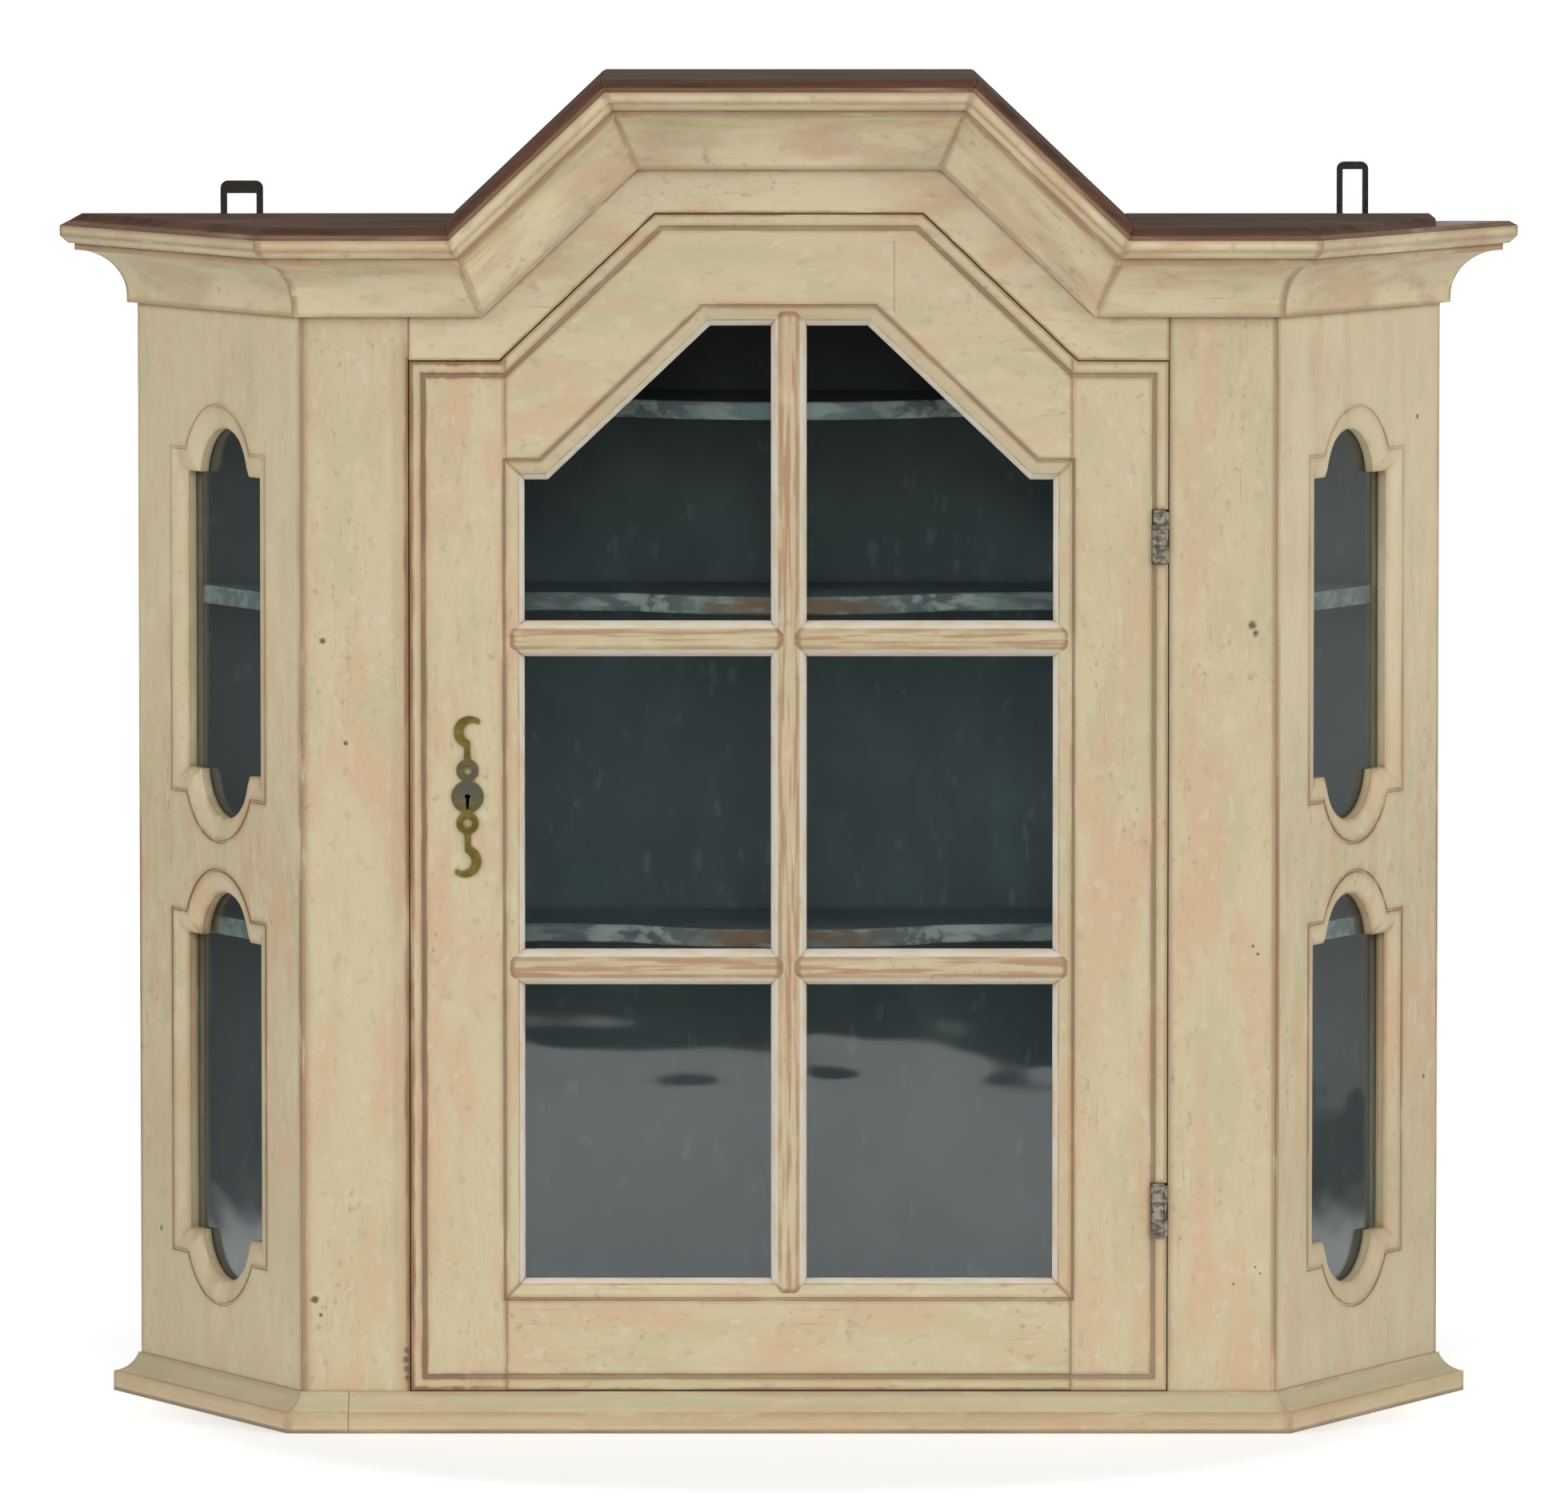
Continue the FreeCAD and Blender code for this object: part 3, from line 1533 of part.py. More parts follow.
for item in doc.Objects:
    if "Invalid" in item.State or "Error" in item.State:
        raise RuntimeError(f"{item.Name} failed: {item.State}")
for name, item in nodes.items():
    if item.Shape.isNull() or not item.Shape.isValid():
        raise RuntimeError(f"{name} has no valid shape")

os.makedirs("parts", exist_ok=True)
for name, item in nodes.items():
    item.Shape.exportStep(f"parts/{name}.step")
    print(f"{name}: {len(item.Shape.Solids)} solids, {item.Shape.Volume:.0f} mm3")
print(f"{len(nodes)} nodes")
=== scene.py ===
import math

import bmesh
import bpy
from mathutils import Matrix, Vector


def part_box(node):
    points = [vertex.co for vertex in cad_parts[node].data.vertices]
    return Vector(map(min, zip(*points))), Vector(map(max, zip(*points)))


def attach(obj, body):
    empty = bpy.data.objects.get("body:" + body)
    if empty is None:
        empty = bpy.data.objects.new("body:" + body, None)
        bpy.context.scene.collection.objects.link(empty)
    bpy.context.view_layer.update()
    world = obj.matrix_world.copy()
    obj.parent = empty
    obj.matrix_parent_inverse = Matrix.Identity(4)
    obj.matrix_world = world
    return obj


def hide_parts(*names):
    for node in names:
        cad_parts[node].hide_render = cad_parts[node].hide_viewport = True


# Painted hanging cabinet: the looks of its wood, paint, glass, iron and brass.
# Metres, +Z up, +Y towards the wall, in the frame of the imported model.

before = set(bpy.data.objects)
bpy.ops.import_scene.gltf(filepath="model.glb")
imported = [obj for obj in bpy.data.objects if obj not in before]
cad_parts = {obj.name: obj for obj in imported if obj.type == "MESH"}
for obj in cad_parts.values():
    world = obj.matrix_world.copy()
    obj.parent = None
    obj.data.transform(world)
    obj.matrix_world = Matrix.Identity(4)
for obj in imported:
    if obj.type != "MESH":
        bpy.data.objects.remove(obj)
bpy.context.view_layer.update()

MM = 0.001
FRONT_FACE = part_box("door_bottom_rail")[0].y
LOCK_CENTRE = (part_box("escutcheon")[0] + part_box("escutcheon")[1]) / 2

# The middle of the running gap round the door: how far across it lies, and the heights of its
# foot, shoulders and top; the plane of its slopes is given by its distance from the origin
HALF_CLEARANCE = 0.3 * MM
GAP_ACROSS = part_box("stile_right")[0].x - HALF_CLEARANCE
GAP_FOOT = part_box("door_bottom_rail")[0].z - HALF_CLEARANCE
GAP_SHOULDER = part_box("frieze_board")[0].z - HALF_CLEARANCE
GAP_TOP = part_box("door_arch_rail")[1].z + HALF_CLEARANCE
GAP_SLOPE = 628.9 * MM

# Outward direction of the canted sides in plan
CANT_ACROSS, CANT_FORWARD = 0.875, 0.484

# Turns that lay a pattern's long way along the grain of a piece
ARCH_SLOPE = math.radians(43.5)
CANT = math.atan2(CANT_ACROSS, CANT_FORWARD)
UPRIGHT = (0.0, -math.pi / 2, 0.0)
LEVEL = (0.0, 0.0, 0.0)
RISING = (0.0, -ARCH_SLOPE, 0.0)
FALLING = (0.0, ARCH_SLOPE, 0.0)
CANT_LEFT = (0.0, 0.0, -CANT)
CANT_RIGHT = (0.0, 0.0, CANT)

# Sockets of a Mix node that hold colours: the one under, the one over and the result
MIX_UNDER, MIX_OVER, MIX_RESULT = 6, 7, 2


# Shader helpers

def linear(colour):
    """A hex sRGB colour as linear light, opaque."""
    parts = [int(colour[i:i + 2], 16) / 255 for i in (1, 3, 5)]
    return tuple(
        part / 12.92 if part <= 0.04045 else ((part + 0.055) / 1.055) ** 2.4 for part in parts
    ) + (1.0,)


def add_node(tree, kind, inputs=None, **settings):
    """Add one shader node, with its settings and with values or links on its inputs."""
    made = tree.nodes.new(f"ShaderNode{kind}")
    for name, value in settings.items():
        setattr(made, name, value)
    for socket, value in (inputs or {}).items():
        if isinstance(value, bpy.types.NodeSocket):
            tree.links.new(value, made.inputs[socket])
        else:
            made.inputs[socket].default_value = value
    return made


def new_material(name, **surface):
    """A material with one Principled surface and the place of each point on the object."""
    material = bpy.data.materials.new(name)
    material.use_nodes = True
    tree = material.node_tree
    tree.nodes.clear()
    shader = add_node(tree, "BsdfPrincipled", surface)
    output = add_node(tree, "OutputMaterial", {"Surface": shader.outputs["BSDF"]})
    return material, tree, shader, output, add_node(tree, "TexCoord").outputs["Object"]


def shown(tree, value, low, high, strength=1.0, least=0.0):
    """A value faded in from low to high, between a least strength and a full one."""
    return add_node(
        tree, "MapRange",
        {"Value": value, "From Min": low, "From Max": high, "To Min": least,
         "To Max": strength},
        interpolation_type="SMOOTHSTEP",
    ).outputs["Result"]


def pattern(tree, place, size, show, turn=LEVEL, strength=1.0, detail=2.0, least=0.0):
    """Noise as long and wide as size in millimetres, shown from the first level to the second."""
    length, width = size
    laid = add_node(
        tree, "Mapping",
        {"Vector": place, "Rotation": turn, "Scale": (length * MM, width * MM, width * MM)},
        vector_type="TEXTURE",
    )
    cloud = add_node(
        tree, "TexNoise", {"Vector": laid.outputs["Vector"], "Scale": 1.0, "Detail": detail}
    )
    return shown(tree, cloud.outputs["Fac"], show[0], show[1], strength, least)


def coats(tree, ground, layers):
    """Lay thin coats over a ground: each is a colour and where it shows."""
    shade = linear(ground)
    for colour, where in layers:
        shade = add_node(
            tree, "Mix", {0: where, MIX_UNDER: shade, MIX_OVER: linear(colour)},
            data_type="RGBA",
        ).outputs[MIX_RESULT]
    return shade


def overlap(tree, first, *others):
    """Where several patterns all show at once."""
    common = first
    for other in others:
        common = add_node(tree, "Math", {0: common, 1: other}, operation="MULTIPLY").outputs[0]
    return common


def near_arris(tree, reach):
    """Nearness to an arris, 1 on it and 0 beyond its reach in millimetres.

    Near an arris the rounded normal turns away from the flat one, by the cosines below.
    """
    unturned, turned = 0.995, 0.92
    rounded = add_node(tree, "Bevel", {"Radius": reach * MM}, samples=4).outputs["Normal"]
    flat = add_node(tree, "NewGeometry").outputs["Normal"]
    facing = add_node(tree, "VectorMath", {0: rounded, 1: flat}, operation="DOT_PRODUCT")
    return add_node(
        tree, "MapRange",
        {"Value": facing.outputs["Value"], "From Min": unturned, "From Max": turned},
    ).outputs["Result"]


def hollow_dirt_and_shade(tree, reach, show, strength):
    """Dirt and painted shade in quirks and joints, darker where little of the open room is seen.
    """
    open_share = add_node(
        tree, "AmbientOcclusion", {"Distance": reach * MM}, samples=4
    ).outputs["AO"]
    return shown(tree, open_share, show[0], show[1], strength)


def relief(tree, shader, heights, depth):
    """Raise and sink the surface by weighted patterns, depth in millimetres."""
    total = 0.0
    for height, weight in heights:
        total = add_node(
            tree, "Math", {0: height, 1: weight, 2: total}, operation="MULTIPLY_ADD"
        ).outputs[0]
    bump = add_node(tree, "Bump", {"Height": total, "Distance": depth * MM, "Strength": 1.0})
    tree.links.new(bump.outputs["Normal"], shader.inputs["Normal"])


# Finishes

def faces(tree, axis, low, high):
    """How far the object's own surface faces along an axis, faded in between two levels."""
    facing = add_node(tree, "TexCoord").outputs["Normal"]
    return shown(tree, add_node(tree, "SeparateXYZ", {0: facing}).outputs[axis], low, high)


def marks(tree, place, spots):
    """Small ragged marks at given points: each is a point and a radius in millimetres."""
    tatter = 25 / 6 * MM
    ragged = add_node(tree, "TexNoise", {"Vector": place, "Scale": 1 / tatter, "Detail": 2.0})
    total = 0.0
    for point, radius in spots:
        away = add_node(tree, "VectorMath", {0: place, 1: point}, operation="DISTANCE")
        uneven = add_node(
            tree, "Math", {0: ragged.outputs["Fac"], 1: radius * MM, 2: away.outputs["Value"]},
            operation="MULTIPLY_ADD",
        ).outputs[0]
        spot = shown(tree, uneven, radius * 1.7 * MM, radius * 0.8 * MM)
        total = add_node(tree, "Math", {0: total, 1: spot}, operation="MAXIMUM").outputs[0]
    return total


def slits(tree, place, lines):
    """Upright open joints: each is the place across, its foot, its head and its half width."""
    parts = add_node(tree, "SeparateXYZ", {0: place}).outputs
    total = 0.0
    for across, foot, head, half in lines:
        column = add_node(
            tree, "Math", {0: parts["X"], 1: across * MM, 2: half * MM}, operation="COMPARE"
        ).outputs[0]
        span = add_node(
            tree, "Math",
            {0: parts["Z"], 1: (foot + head) / 2 * MM, 2: (head - foot) / 2 * MM},
            operation="COMPARE",
        ).outputs[0]
        total = add_node(
            tree, "Math", {0: column, 1: span, 2: total}, operation="MULTIPLY_ADD"
        ).outputs[0]
    return total


def from_seam(tree, place):
    """How far a point of the front lies outside the gap round the door, in metres."""
    folded = add_node(tree, "VectorMath", {0: place}, operation="ABSOLUTE").outputs["Vector"]
    beyond = []
    for across, up, reach in (
        (1.0, 0.0, GAP_ACROSS), (0.0, -1.0, -GAP_FOOT), (0.0, 1.0, GAP_SHOULDER),
        (math.sin(ARCH_SLOPE), math.cos(ARCH_SLOPE), GAP_SLOPE), (0.0, 1.0, GAP_TOP),
    ):
        along = add_node(
            tree, "VectorMath", {0: folded, 1: (across, 0.0, up)}, operation="DOT_PRODUCT"
        ).outputs["Value"]
        beyond.append(
            add_node(tree, "Math", {0: along, 1: reach}, operation="SUBTRACT").outputs[0]
        )
    side, foot, shoulder, slope, top = beyond
    arch = add_node(tree, "Math", {0: slope, 1: top}, operation="MAXIMUM")
    head = add_node(tree, "Math", {0: shoulder, 1: arch.outputs[0]}, operation="MINIMUM")
    frame_side = add_node(tree, "Math", {0: side, 1: foot}, operation="MAXIMUM")
    return add_node(
        tree, "Math", {0: frame_side.outputs[0], 1: head.outputs[0]}, operation="MAXIMUM"
    ).outputs[0]


def band(tree, value, centre, half):
    """A soft band round one level of a value, in millimetres."""
    offset = add_node(tree, "Math", {0: value, 1: centre * MM}, operation="SUBTRACT")
    away = add_node(tree, "Math", {0: offset.outputs[0]}, operation="ABSOLUTE").outputs[0]
    return shown(tree, away, half * MM, half * MM * 0.4)


def pale_slopes_highlight_and_shadow(tree, place, turn, top):
    """A paler, greyer coat with painted highlight on the slopes beside the glass, under a thin
    brown line of dirt and painted shadow.

    The slopes begin at a depth behind the front face, in millimetres.
    """
    level = add_node(tree, "SeparateXYZ", {0: place}).outputs["Y"]
    depth = add_node(tree, "Math", {0: level, 1: FRONT_FACE}, operation="SUBTRACT").outputs[0]
    sunk = shown(tree, depth, (top - 0.3) * MM, (top + 0.3) * MM)
    sloping = overlap(tree, faces(tree, "Y", -0.97, -0.88), sunk)
    kept = pattern(tree, place, (22, 6), (0.34, 0.6), turn, 0.9, 4.0, 0.3)
    line = pattern(tree, place, (40, 7), (0.35, 0.6), turn, 0.75, 3.0, 0.2)
    # Painted highlight on the slopes, and a painted shadow line just before they begin
    return [
        ("#D6CDC3", overlap(tree, sloping, kept)),
        ("#A08462", overlap(tree, band(tree, depth, top - 0.5, 0.6), line)),
    ]


def rubbed_crest(tree, place, turn, near, strength):
    """Brown threads along the crest of a glazing bar, and nicks in its arrises."""
    threads = pattern(tree, place, (60, 3.0), (0.46, 0.62), turn, strength, 3.0)
    nicks = pattern(tree, place, (11, 4), (0.52, 0.62), turn, strength, 3.0)
    return [
        ("#A67C59", overlap(tree, faces(tree, "Y", -0.9, -1.0), threads)),
        ("#8A684B", overlap(tree, near, nicks)),
    ]


def bare_crown(tree, place, turn, strength):
    """Brown wood on the top of the cornice, where the paint has gone."""
    rubbed = pattern(tree, place, (70, 14), (0.25, 0.5), turn, strength, 4.0, strength / 2)
    return [("#6F4936", overlap(tree, faces(tree, "Z", 0.3, 0.7), rubbed))]


def seam_dirt(tree, place, turn, seams):
    """Brown dirt that follows the gap round the door, wavering and patchy."""
    waver = 0.9 * MM
    wobble = pattern(tree, place, (26, 7), (0.2, 0.8), turn, waver, 4.0, -waver)
    outside = add_node(
        tree, "Math", {0: from_seam(tree, place), 1: wobble}, operation="ADD"
    ).outputs[0]
    layers = []
    for inset, half, colour, strength in seams:
        uneven = pattern(tree, place, (55, 12), (0.3, 0.56), turn, strength, 4.0, strength * 0.4)
        layers.append((colour, overlap(tree, band(tree, outside, -inset, half), uneven)))
    return layers


def level_stains_and_light(tree, place, turn, bands):
    """Uneven bands between two heights, of stains and of painted light and shade."""
    height = add_node(tree, "SeparateXYZ", {0: place}).outputs["Z"]
    layers = []
    for low, high, colour, strength in bands:
        uneven = pattern(tree, place, (90, 20), (0.3, 0.6), turn, strength, 3.0, strength / 2)
        level = band(tree, height, (low + high) / 2, (high - low) / 2)
        layers.append((colour, overlap(tree, level, uneven)))
    return layers


def painted_pine(name, turn, reach=6.5, worn=1.0, least=0.35, crest=0.0, crown=0.0, pale=None,
                 spots=(), joints=(), bands=(), seams=(), ground="#CFC09C"):
    """Old oil paint brushed on planed pine.

    A matt cream coat, mottled where greener and rosier coats under it show through, with
    faint brush streaks and small dark chips; red-brown wood along rubbed arrises, more so in
    some stretches, brown dirt in joints and seams, and dirt with painted shade in the quirks.

    Wear reaches a width from an arris, and is worn to a strength, the least of it in kept
    stretches. Crest and crown are strengths of wear on glazing bars and on the cornice's top,
    and pale is the depth in millimetres where the slopes to the glass begin, with their painted
    highlight and painted shadow line. A spot is a point and a radius; a joint its place across,
    foot, head and half width; a band its foot, head, colour and strength, as stain or painted
    light and shade; a seam its inset from the door's gap, half width, colour and strength.
    """
    material, tree, shader, _, place = new_material(name, Roughness=0.55)
    rose = pattern(tree, place, (75, 24), (0.46, 0.64), turn, 0.8, 4.0)
    green = pattern(tree, place, (60, 18), (0.46, 0.64), turn, 0.75, 4.0)
    cloud = pattern(tree, place, (220, 90), (0.45, 0.65), turn, 0.4)
    dabs = pattern(tree, place, (14, 9), (0.54, 0.7), turn, 0.5, 3.0)
    stains = pattern(tree, place, (12, 8), (0.57, 0.74), turn, 0.5, 4.0)
    cluster = pattern(tree, place, (90, 45), (0.48, 0.64), turn, 1.0, 2.0, 0.1)
    chips = pattern(tree, place, (7, 5), (0.58, 0.74), turn, 0.5, 3.0)
    freckles = overlap(tree, cluster, chips)
    hairs = overlap(tree, cluster, pattern(tree, place, (45, 1.8), (0.6, 0.74), turn, 0.5, 3.0))
    near = near_arris(tree, reach)
    stretches = pattern(tree, place, (240, 90), (0.38, 0.56), turn, 1.0, 2.0, least)
    ragged = pattern(tree, place, (40, 7), (0.3, 0.54), turn, 1.0, 4.0, 0.2)
    rubbing = overlap(tree, near, stretches, ragged)
    halo = shown(tree, rubbing, 0.01, 0.22, 0.6 * worn)
    edge = shown(tree, rubbing, 0.12, 0.42, 0.9 * worn)
    held = pattern(tree, place, (35, 8), (0.2, 0.55), turn, 1.0, 3.0, 0.3)
    # Dirt and painted shade in the quirks and joints, where the occlusion mask finds little light
    dirt_and_shade = overlap(tree, hollow_dirt_and_shade(tree, 6.0, (0.82, 0.4), 0.85), held)
    layers = [
        ("#C3B891", green), ("#D0B08E", rose), ("#C9BB96", cloud), ("#D8CCAE", dabs),
        ("#B2A285", stains), ("#AE9371", hairs), ("#94826A", freckles),
        ("#BC9874", halo), ("#926C4E", edge),
    ]
    if pale:
        layers += pale_slopes_highlight_and_shadow(tree, place, turn, pale)
    if crest:
        layers += rubbed_crest(tree, place, turn, near, crest)
    if crown:
        layers += bare_crown(tree, place, turn, crown)
    layers.append(("#927454", dirt_and_shade))
    if seams:
        layers += seam_dirt(tree, place, turn, seams)
    if bands:
        layers += level_stains_and_light(tree, place, turn, bands)
    if spots:
        layers.append(("#6A5843", marks(tree, place, spots)))
    if joints:
        layers.append(("#78634A", slits(tree, place, joints)))
    tree.links.new(coats(tree, ground, layers), shader.inputs["Base Color"])
    shine = add_node(
        tree, "MapRange", {"Value": dabs, "From Max": 0.5, "To Min": 0.5, "To Max": 0.66}
    )
    tree.links.new(shine.outputs["Result"], shader.inputs["Roughness"])
    crackle = pattern(tree, place, (9, 6), (0.3, 0.7), turn, 1.0, 6.0)
    relief(tree, shader, ((hairs, -0.4), (crackle, 0.5), (freckles, -0.6), (edge, -0.8)), 0.2)
    return material


def room_paint(name, turn):
    """Thin blue-grey paint inside the cabinet, matt, rubbed pale and brown at the edges.

    It goes darker under the arch, a painted shade where little light gets in.
    """
    arch_shade_from, arch_shade_full = 520 * MM, 790 * MM
    material, tree, shader, _, place = new_material(name, Roughness=0.5)
    streaks = pattern(tree, place, (200, 6), (0.4, 0.7), turn, 0.35, 3.0)
    cloud = pattern(tree, place, (90, 60), (0.42, 0.66), turn, 0.6, 3.0)
    scuffs = pattern(tree, place, (22, 9), (0.62, 0.72), turn, 0.4, 4.0)
    height = add_node(tree, "SeparateXYZ", {0: place}).outputs["Z"]
    near = near_arris(tree, 5.0)
    ragged = pattern(tree, place, (70, 9), (0.3, 0.55), turn, 1.0, 3.0)
    pale = shown(tree, overlap(tree, near, ragged), 0.08, 0.4, 0.85)
    worn = pattern(tree, place, (60, 7), (0.52, 0.64), turn, 1.0, 3.0)
    layers = [
        ("#46525A", streaks), ("#5D6970", cloud), ("#77828A", scuffs), ("#A3ABA8", pale),
        ("#7C523B", overlap(tree, pale, worn)),
        # Painted shade: darker up under the arch, and dark dirt with painted shade in the corners
        ("#121517", shown(tree, height, arch_shade_from, arch_shade_full, 0.93)),
        ("#1E2224", hollow_dirt_and_shade(tree, 12.0, (0.7, 0.3), 0.6)),
    ]
    tree.links.new(coats(tree, "#4C575F", layers), shader.inputs["Base Color"])
    relief(tree, shader, ((streaks, -0.6), (scuffs, -0.4)), 0.2)
    return material


def shelf_edge():
    """Serpentine shelf edges, the blue-grey paint rubbed pale, and brown at the middle.

    The rubbing is palest at the cusps, and the top shelf keeps its paint at the middle.
    """
    material, tree, shader, _, place = new_material("shelf_edge_rubbed", Roughness=0.5)
    parts = add_node(tree, "SeparateXYZ", {0: place}).outputs
    across = add_node(tree, "Math", {0: parts["X"]}, operation="ABSOLUTE").outputs[0]
    middle = overlap(
        tree, shown(tree, across, 90 * MM, 30 * MM),
        shown(tree, parts["Z"], 640 * MM, 580 * MM),
    )
    cusp = band(tree, across, 100.0, 40.0)
    patches = pattern(tree, place, (30, 8), (0.42, 0.6), LEVEL, 0.8, 4.0)
    brown = overlap(tree, middle, pattern(tree, place, (45, 6), (0.36, 0.55), LEVEL, 0.9, 3.0))
    # The last layer is dark dirt and painted shade in the hollows of the shelf edge
    layers = [
        ("#9FA6A5", patches), ("#C2C6C3", overlap(tree, cusp, patches)), ("#7E5A44", brown),
        ("#1E2224", hollow_dirt_and_shade(tree, 8.0, (0.6, 0.2), 0.5)),
    ]
    tree.links.new(coats(tree, "#6E797E", layers), shader.inputs["Base Color"])
    relief(tree, shader, ((patches, -0.6),), 0.2)
    return material


def sawn_pine(name, turn, ground, dark, red, dust):
    """Bare pine gone brown with age: sawn grain, darker rings, dust on what faces up."""
    material, tree, shader, _, place = new_material(name, Roughness=0.9)
    rings = pattern(tree, place, (420, 9), (0.4, 0.62), turn, 0.8, 4.0)
    fibre = pattern(tree, place, (60, 1.2), (0.4, 0.7), turn, 0.5, 2.0)
    stain = pattern(tree, place, (130, 80), (0.5, 0.7), turn, 0.6)
    ragged = pattern(tree, place, (40, 9), (0.3, 0.6), turn, 1.0, 3.0)
    edge = shown(tree, overlap(tree, near_arris(tree, 3.0), ragged), 0.15, 0.5, 0.7)
    settled = pattern(tree, place, (60, 40), (0.3, 0.7), turn, dust, 5.0)
    layers = [
        (dark, rings), (dark, fibre), (red, stain), (red, edge),
        ("#8B8880", overlap(tree, faces(tree, "Z", 0.2, 1.0), settled)),
    ]
    tree.links.new(coats(tree, ground, layers), shader.inputs["Base Color"])
    relief(tree, shader, ((rings, -0.5), (fibre, 0.5)), 0.35)
    return material


def blown_glass():
    """Old cylinder-blown window glass: faintly green, its surface gently waved and corded.

    Light from the lamps passes straight through, so that the inside is lit.
    """
    material, tree, shader, output, place = new_material(
        "window_glass_blown", **{"Base Color": linear("#EAF1ED"), "Roughness": 0.03, "IOR": 1.5,
                                 "Transmission Weight": 1.0},
    )
    waves = pattern(tree, place, (80, 120), (0.1, 0.9), LEVEL, 1.0, 0.0)
    cords = pattern(tree, place, (60, 22), (0.1, 0.9), LEVEL, 1.0, 0.0)
    relief(tree, shader, ((waves, 1.0), (cords, 0.12)), 0.7)
    lamp_way = add_node(tree, "LightPath").outputs["Is Shadow Ray"]
    clear = add_node(tree, "BsdfTransparent", {"Color": linear("#E4ECE8")})
    mixed = add_node(
        tree, "MixShader", {0: lamp_way, 1: shader.outputs["BSDF"], 2: clear.outputs["BSDF"]}
    )
    tree.links.new(mixed.outputs["Shader"], output.inputs["Surface"])
    return material


def set_putty():
    """Linseed putty, set hard: thumbed smooth, and grown drab with dust and smoke."""
    material, tree, shader, _, place = new_material("linseed_putty_set", Roughness=0.7)
    smear = pattern(tree, place, (18, 6), (0.4, 0.7), UPRIGHT, 0.8, 3.0)
    # Dark dirt and painted shade where the putty sits in the rabbet against glass and wood
    dirt_and_shade = hollow_dirt_and_shade(tree, 4.0, (0.75, 0.3), 0.8)
    shade = coats(tree, "#8A8372", [("#746D5C", smear), ("#3C382E", dirt_and_shade)])
    tree.links.new(shade, shader.inputs["Base Color"])
    relief(tree, shader, ((smear, 1.0),), 0.3)
    return material


def forged_iron(name, ground, rust_colour, painted):
    """Hammered iron, nearly black: pitted, with dull rust and remains of paint."""
    material, tree, shader, _, place = new_material(name, Roughness=0.55, Metallic=0.85)
    pits = pattern(tree, place, (2.2, 2.2), (0.35, 0.65), LEVEL, 1.0, 4.0)
    rust = pattern(tree, place, (7, 7), (0.5, 0.68), LEVEL, 0.75, 4.0)
    bright = pattern(tree, place, (4, 1.5), (0.45, 0.6), UPRIGHT, 1.0, 3.0)
    edge = shown(tree, overlap(tree, near_arris(tree, 0.8), bright), 0.12, 0.5, 0.7)
    flakes = pattern(tree, place, (6.0, 4.0), (0.42, 0.6), LEVEL, painted, 3.0)
    layers = [(rust_colour, rust), ("#8E8A84", edge), ("#A89C88", flakes)]
    tree.links.new(coats(tree, ground, layers), shader.inputs["Base Color"])
    dull = add_node(
        tree, "MapRange", {"Value": rust, "From Max": 0.75, "To Min": 0.45, "To Max": 0.85}
    )
    tree.links.new(dull.outputs["Result"], shader.inputs["Roughness"])
    bare = add_node(tree, "MapRange", {"Value": flakes, "To Min": 0.85, "To Max": 0.0})
    tree.links.new(bare.outputs["Result"], shader.inputs["Metallic"])
    relief(tree, shader, ((pits, 1.0), (rust, 0.6)), 0.12)
    return material


def aged_brass():
    """Cast sheet brass, filed and long handled: olive tarnish, bright only on its edges.

    It is rubbed grey round the keyhole and keeps two dabs of the door's paint.
    """
    material, tree, shader, _, place = new_material(
        "aged_brass_cast", Roughness=0.42, Metallic=1.0
    )
    tarnish = pattern(tree, place, (14, 9), (0.4, 0.6), LEVEL, 0.8, 4.0)
    handled = overlap(
        tree, marks(tree, place, [(LOCK_CENTRE + Vector((0.0, 0.0, 7 * MM)), 19.0)]),
        pattern(tree, place, (5, 4), (0.3, 0.55), LEVEL, 0.9, 3.0, 0.5),
    )
    paint_left = marks(
        tree, place, [(LOCK_CENTRE + Vector((0.0, 0.0, height * MM)), radius)
                      for height, radius in ((-17.0, 3.4), (16.5, 2.6))],
    )
    spots = pattern(tree, place, (2.0, 2.0), (0.58, 0.68), LEVEL, 0.6, 2.0)
    bright = pattern(tree, place, (5, 3), (0.35, 0.55), LEVEL, 1.0, 2.0)
    edge = shown(tree, overlap(tree, near_arris(tree, 0.7), bright), 0.12, 0.5, 0.7)
    dirt_and_shade = hollow_dirt_and_shade(tree, 2.0, (0.75, 0.35), 0.7)
    layers = [
        ("#6A5B2C", tarnish), ("#443D24", spots), ("#62625A", handled), ("#A39555", edge),
        ("#B5A67C", paint_left), ("#2F2B20", dirt_and_shade),
    ]
    tree.links.new(coats(tree, "#84763C", layers), shader.inputs["Base Color"])
    relief(tree, shader, ((tarnish, 0.6), (spots, -0.6)), 0.08)
    return material


def on_front(across, height):
    """The point of the front at a place across and a height, in millimetres."""
    return across * MM, FRONT_FACE, height * MM


def on_side(across, height):
    """The point of a canted side at a place across and a height, in millimetres."""
    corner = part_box("stile_left")[0].x
    back = (abs(across) * MM + corner) * CANT_ACROSS / CANT_FORWARD
    return across * MM, FRONT_FACE + back, height * MM


# The bead's groove lies this far inside the gap, and the slopes to the glass this deep
BEAD_INSET = 9.2
DOOR_SLOPE, BAR_SLOPE = 4.3, 2.0

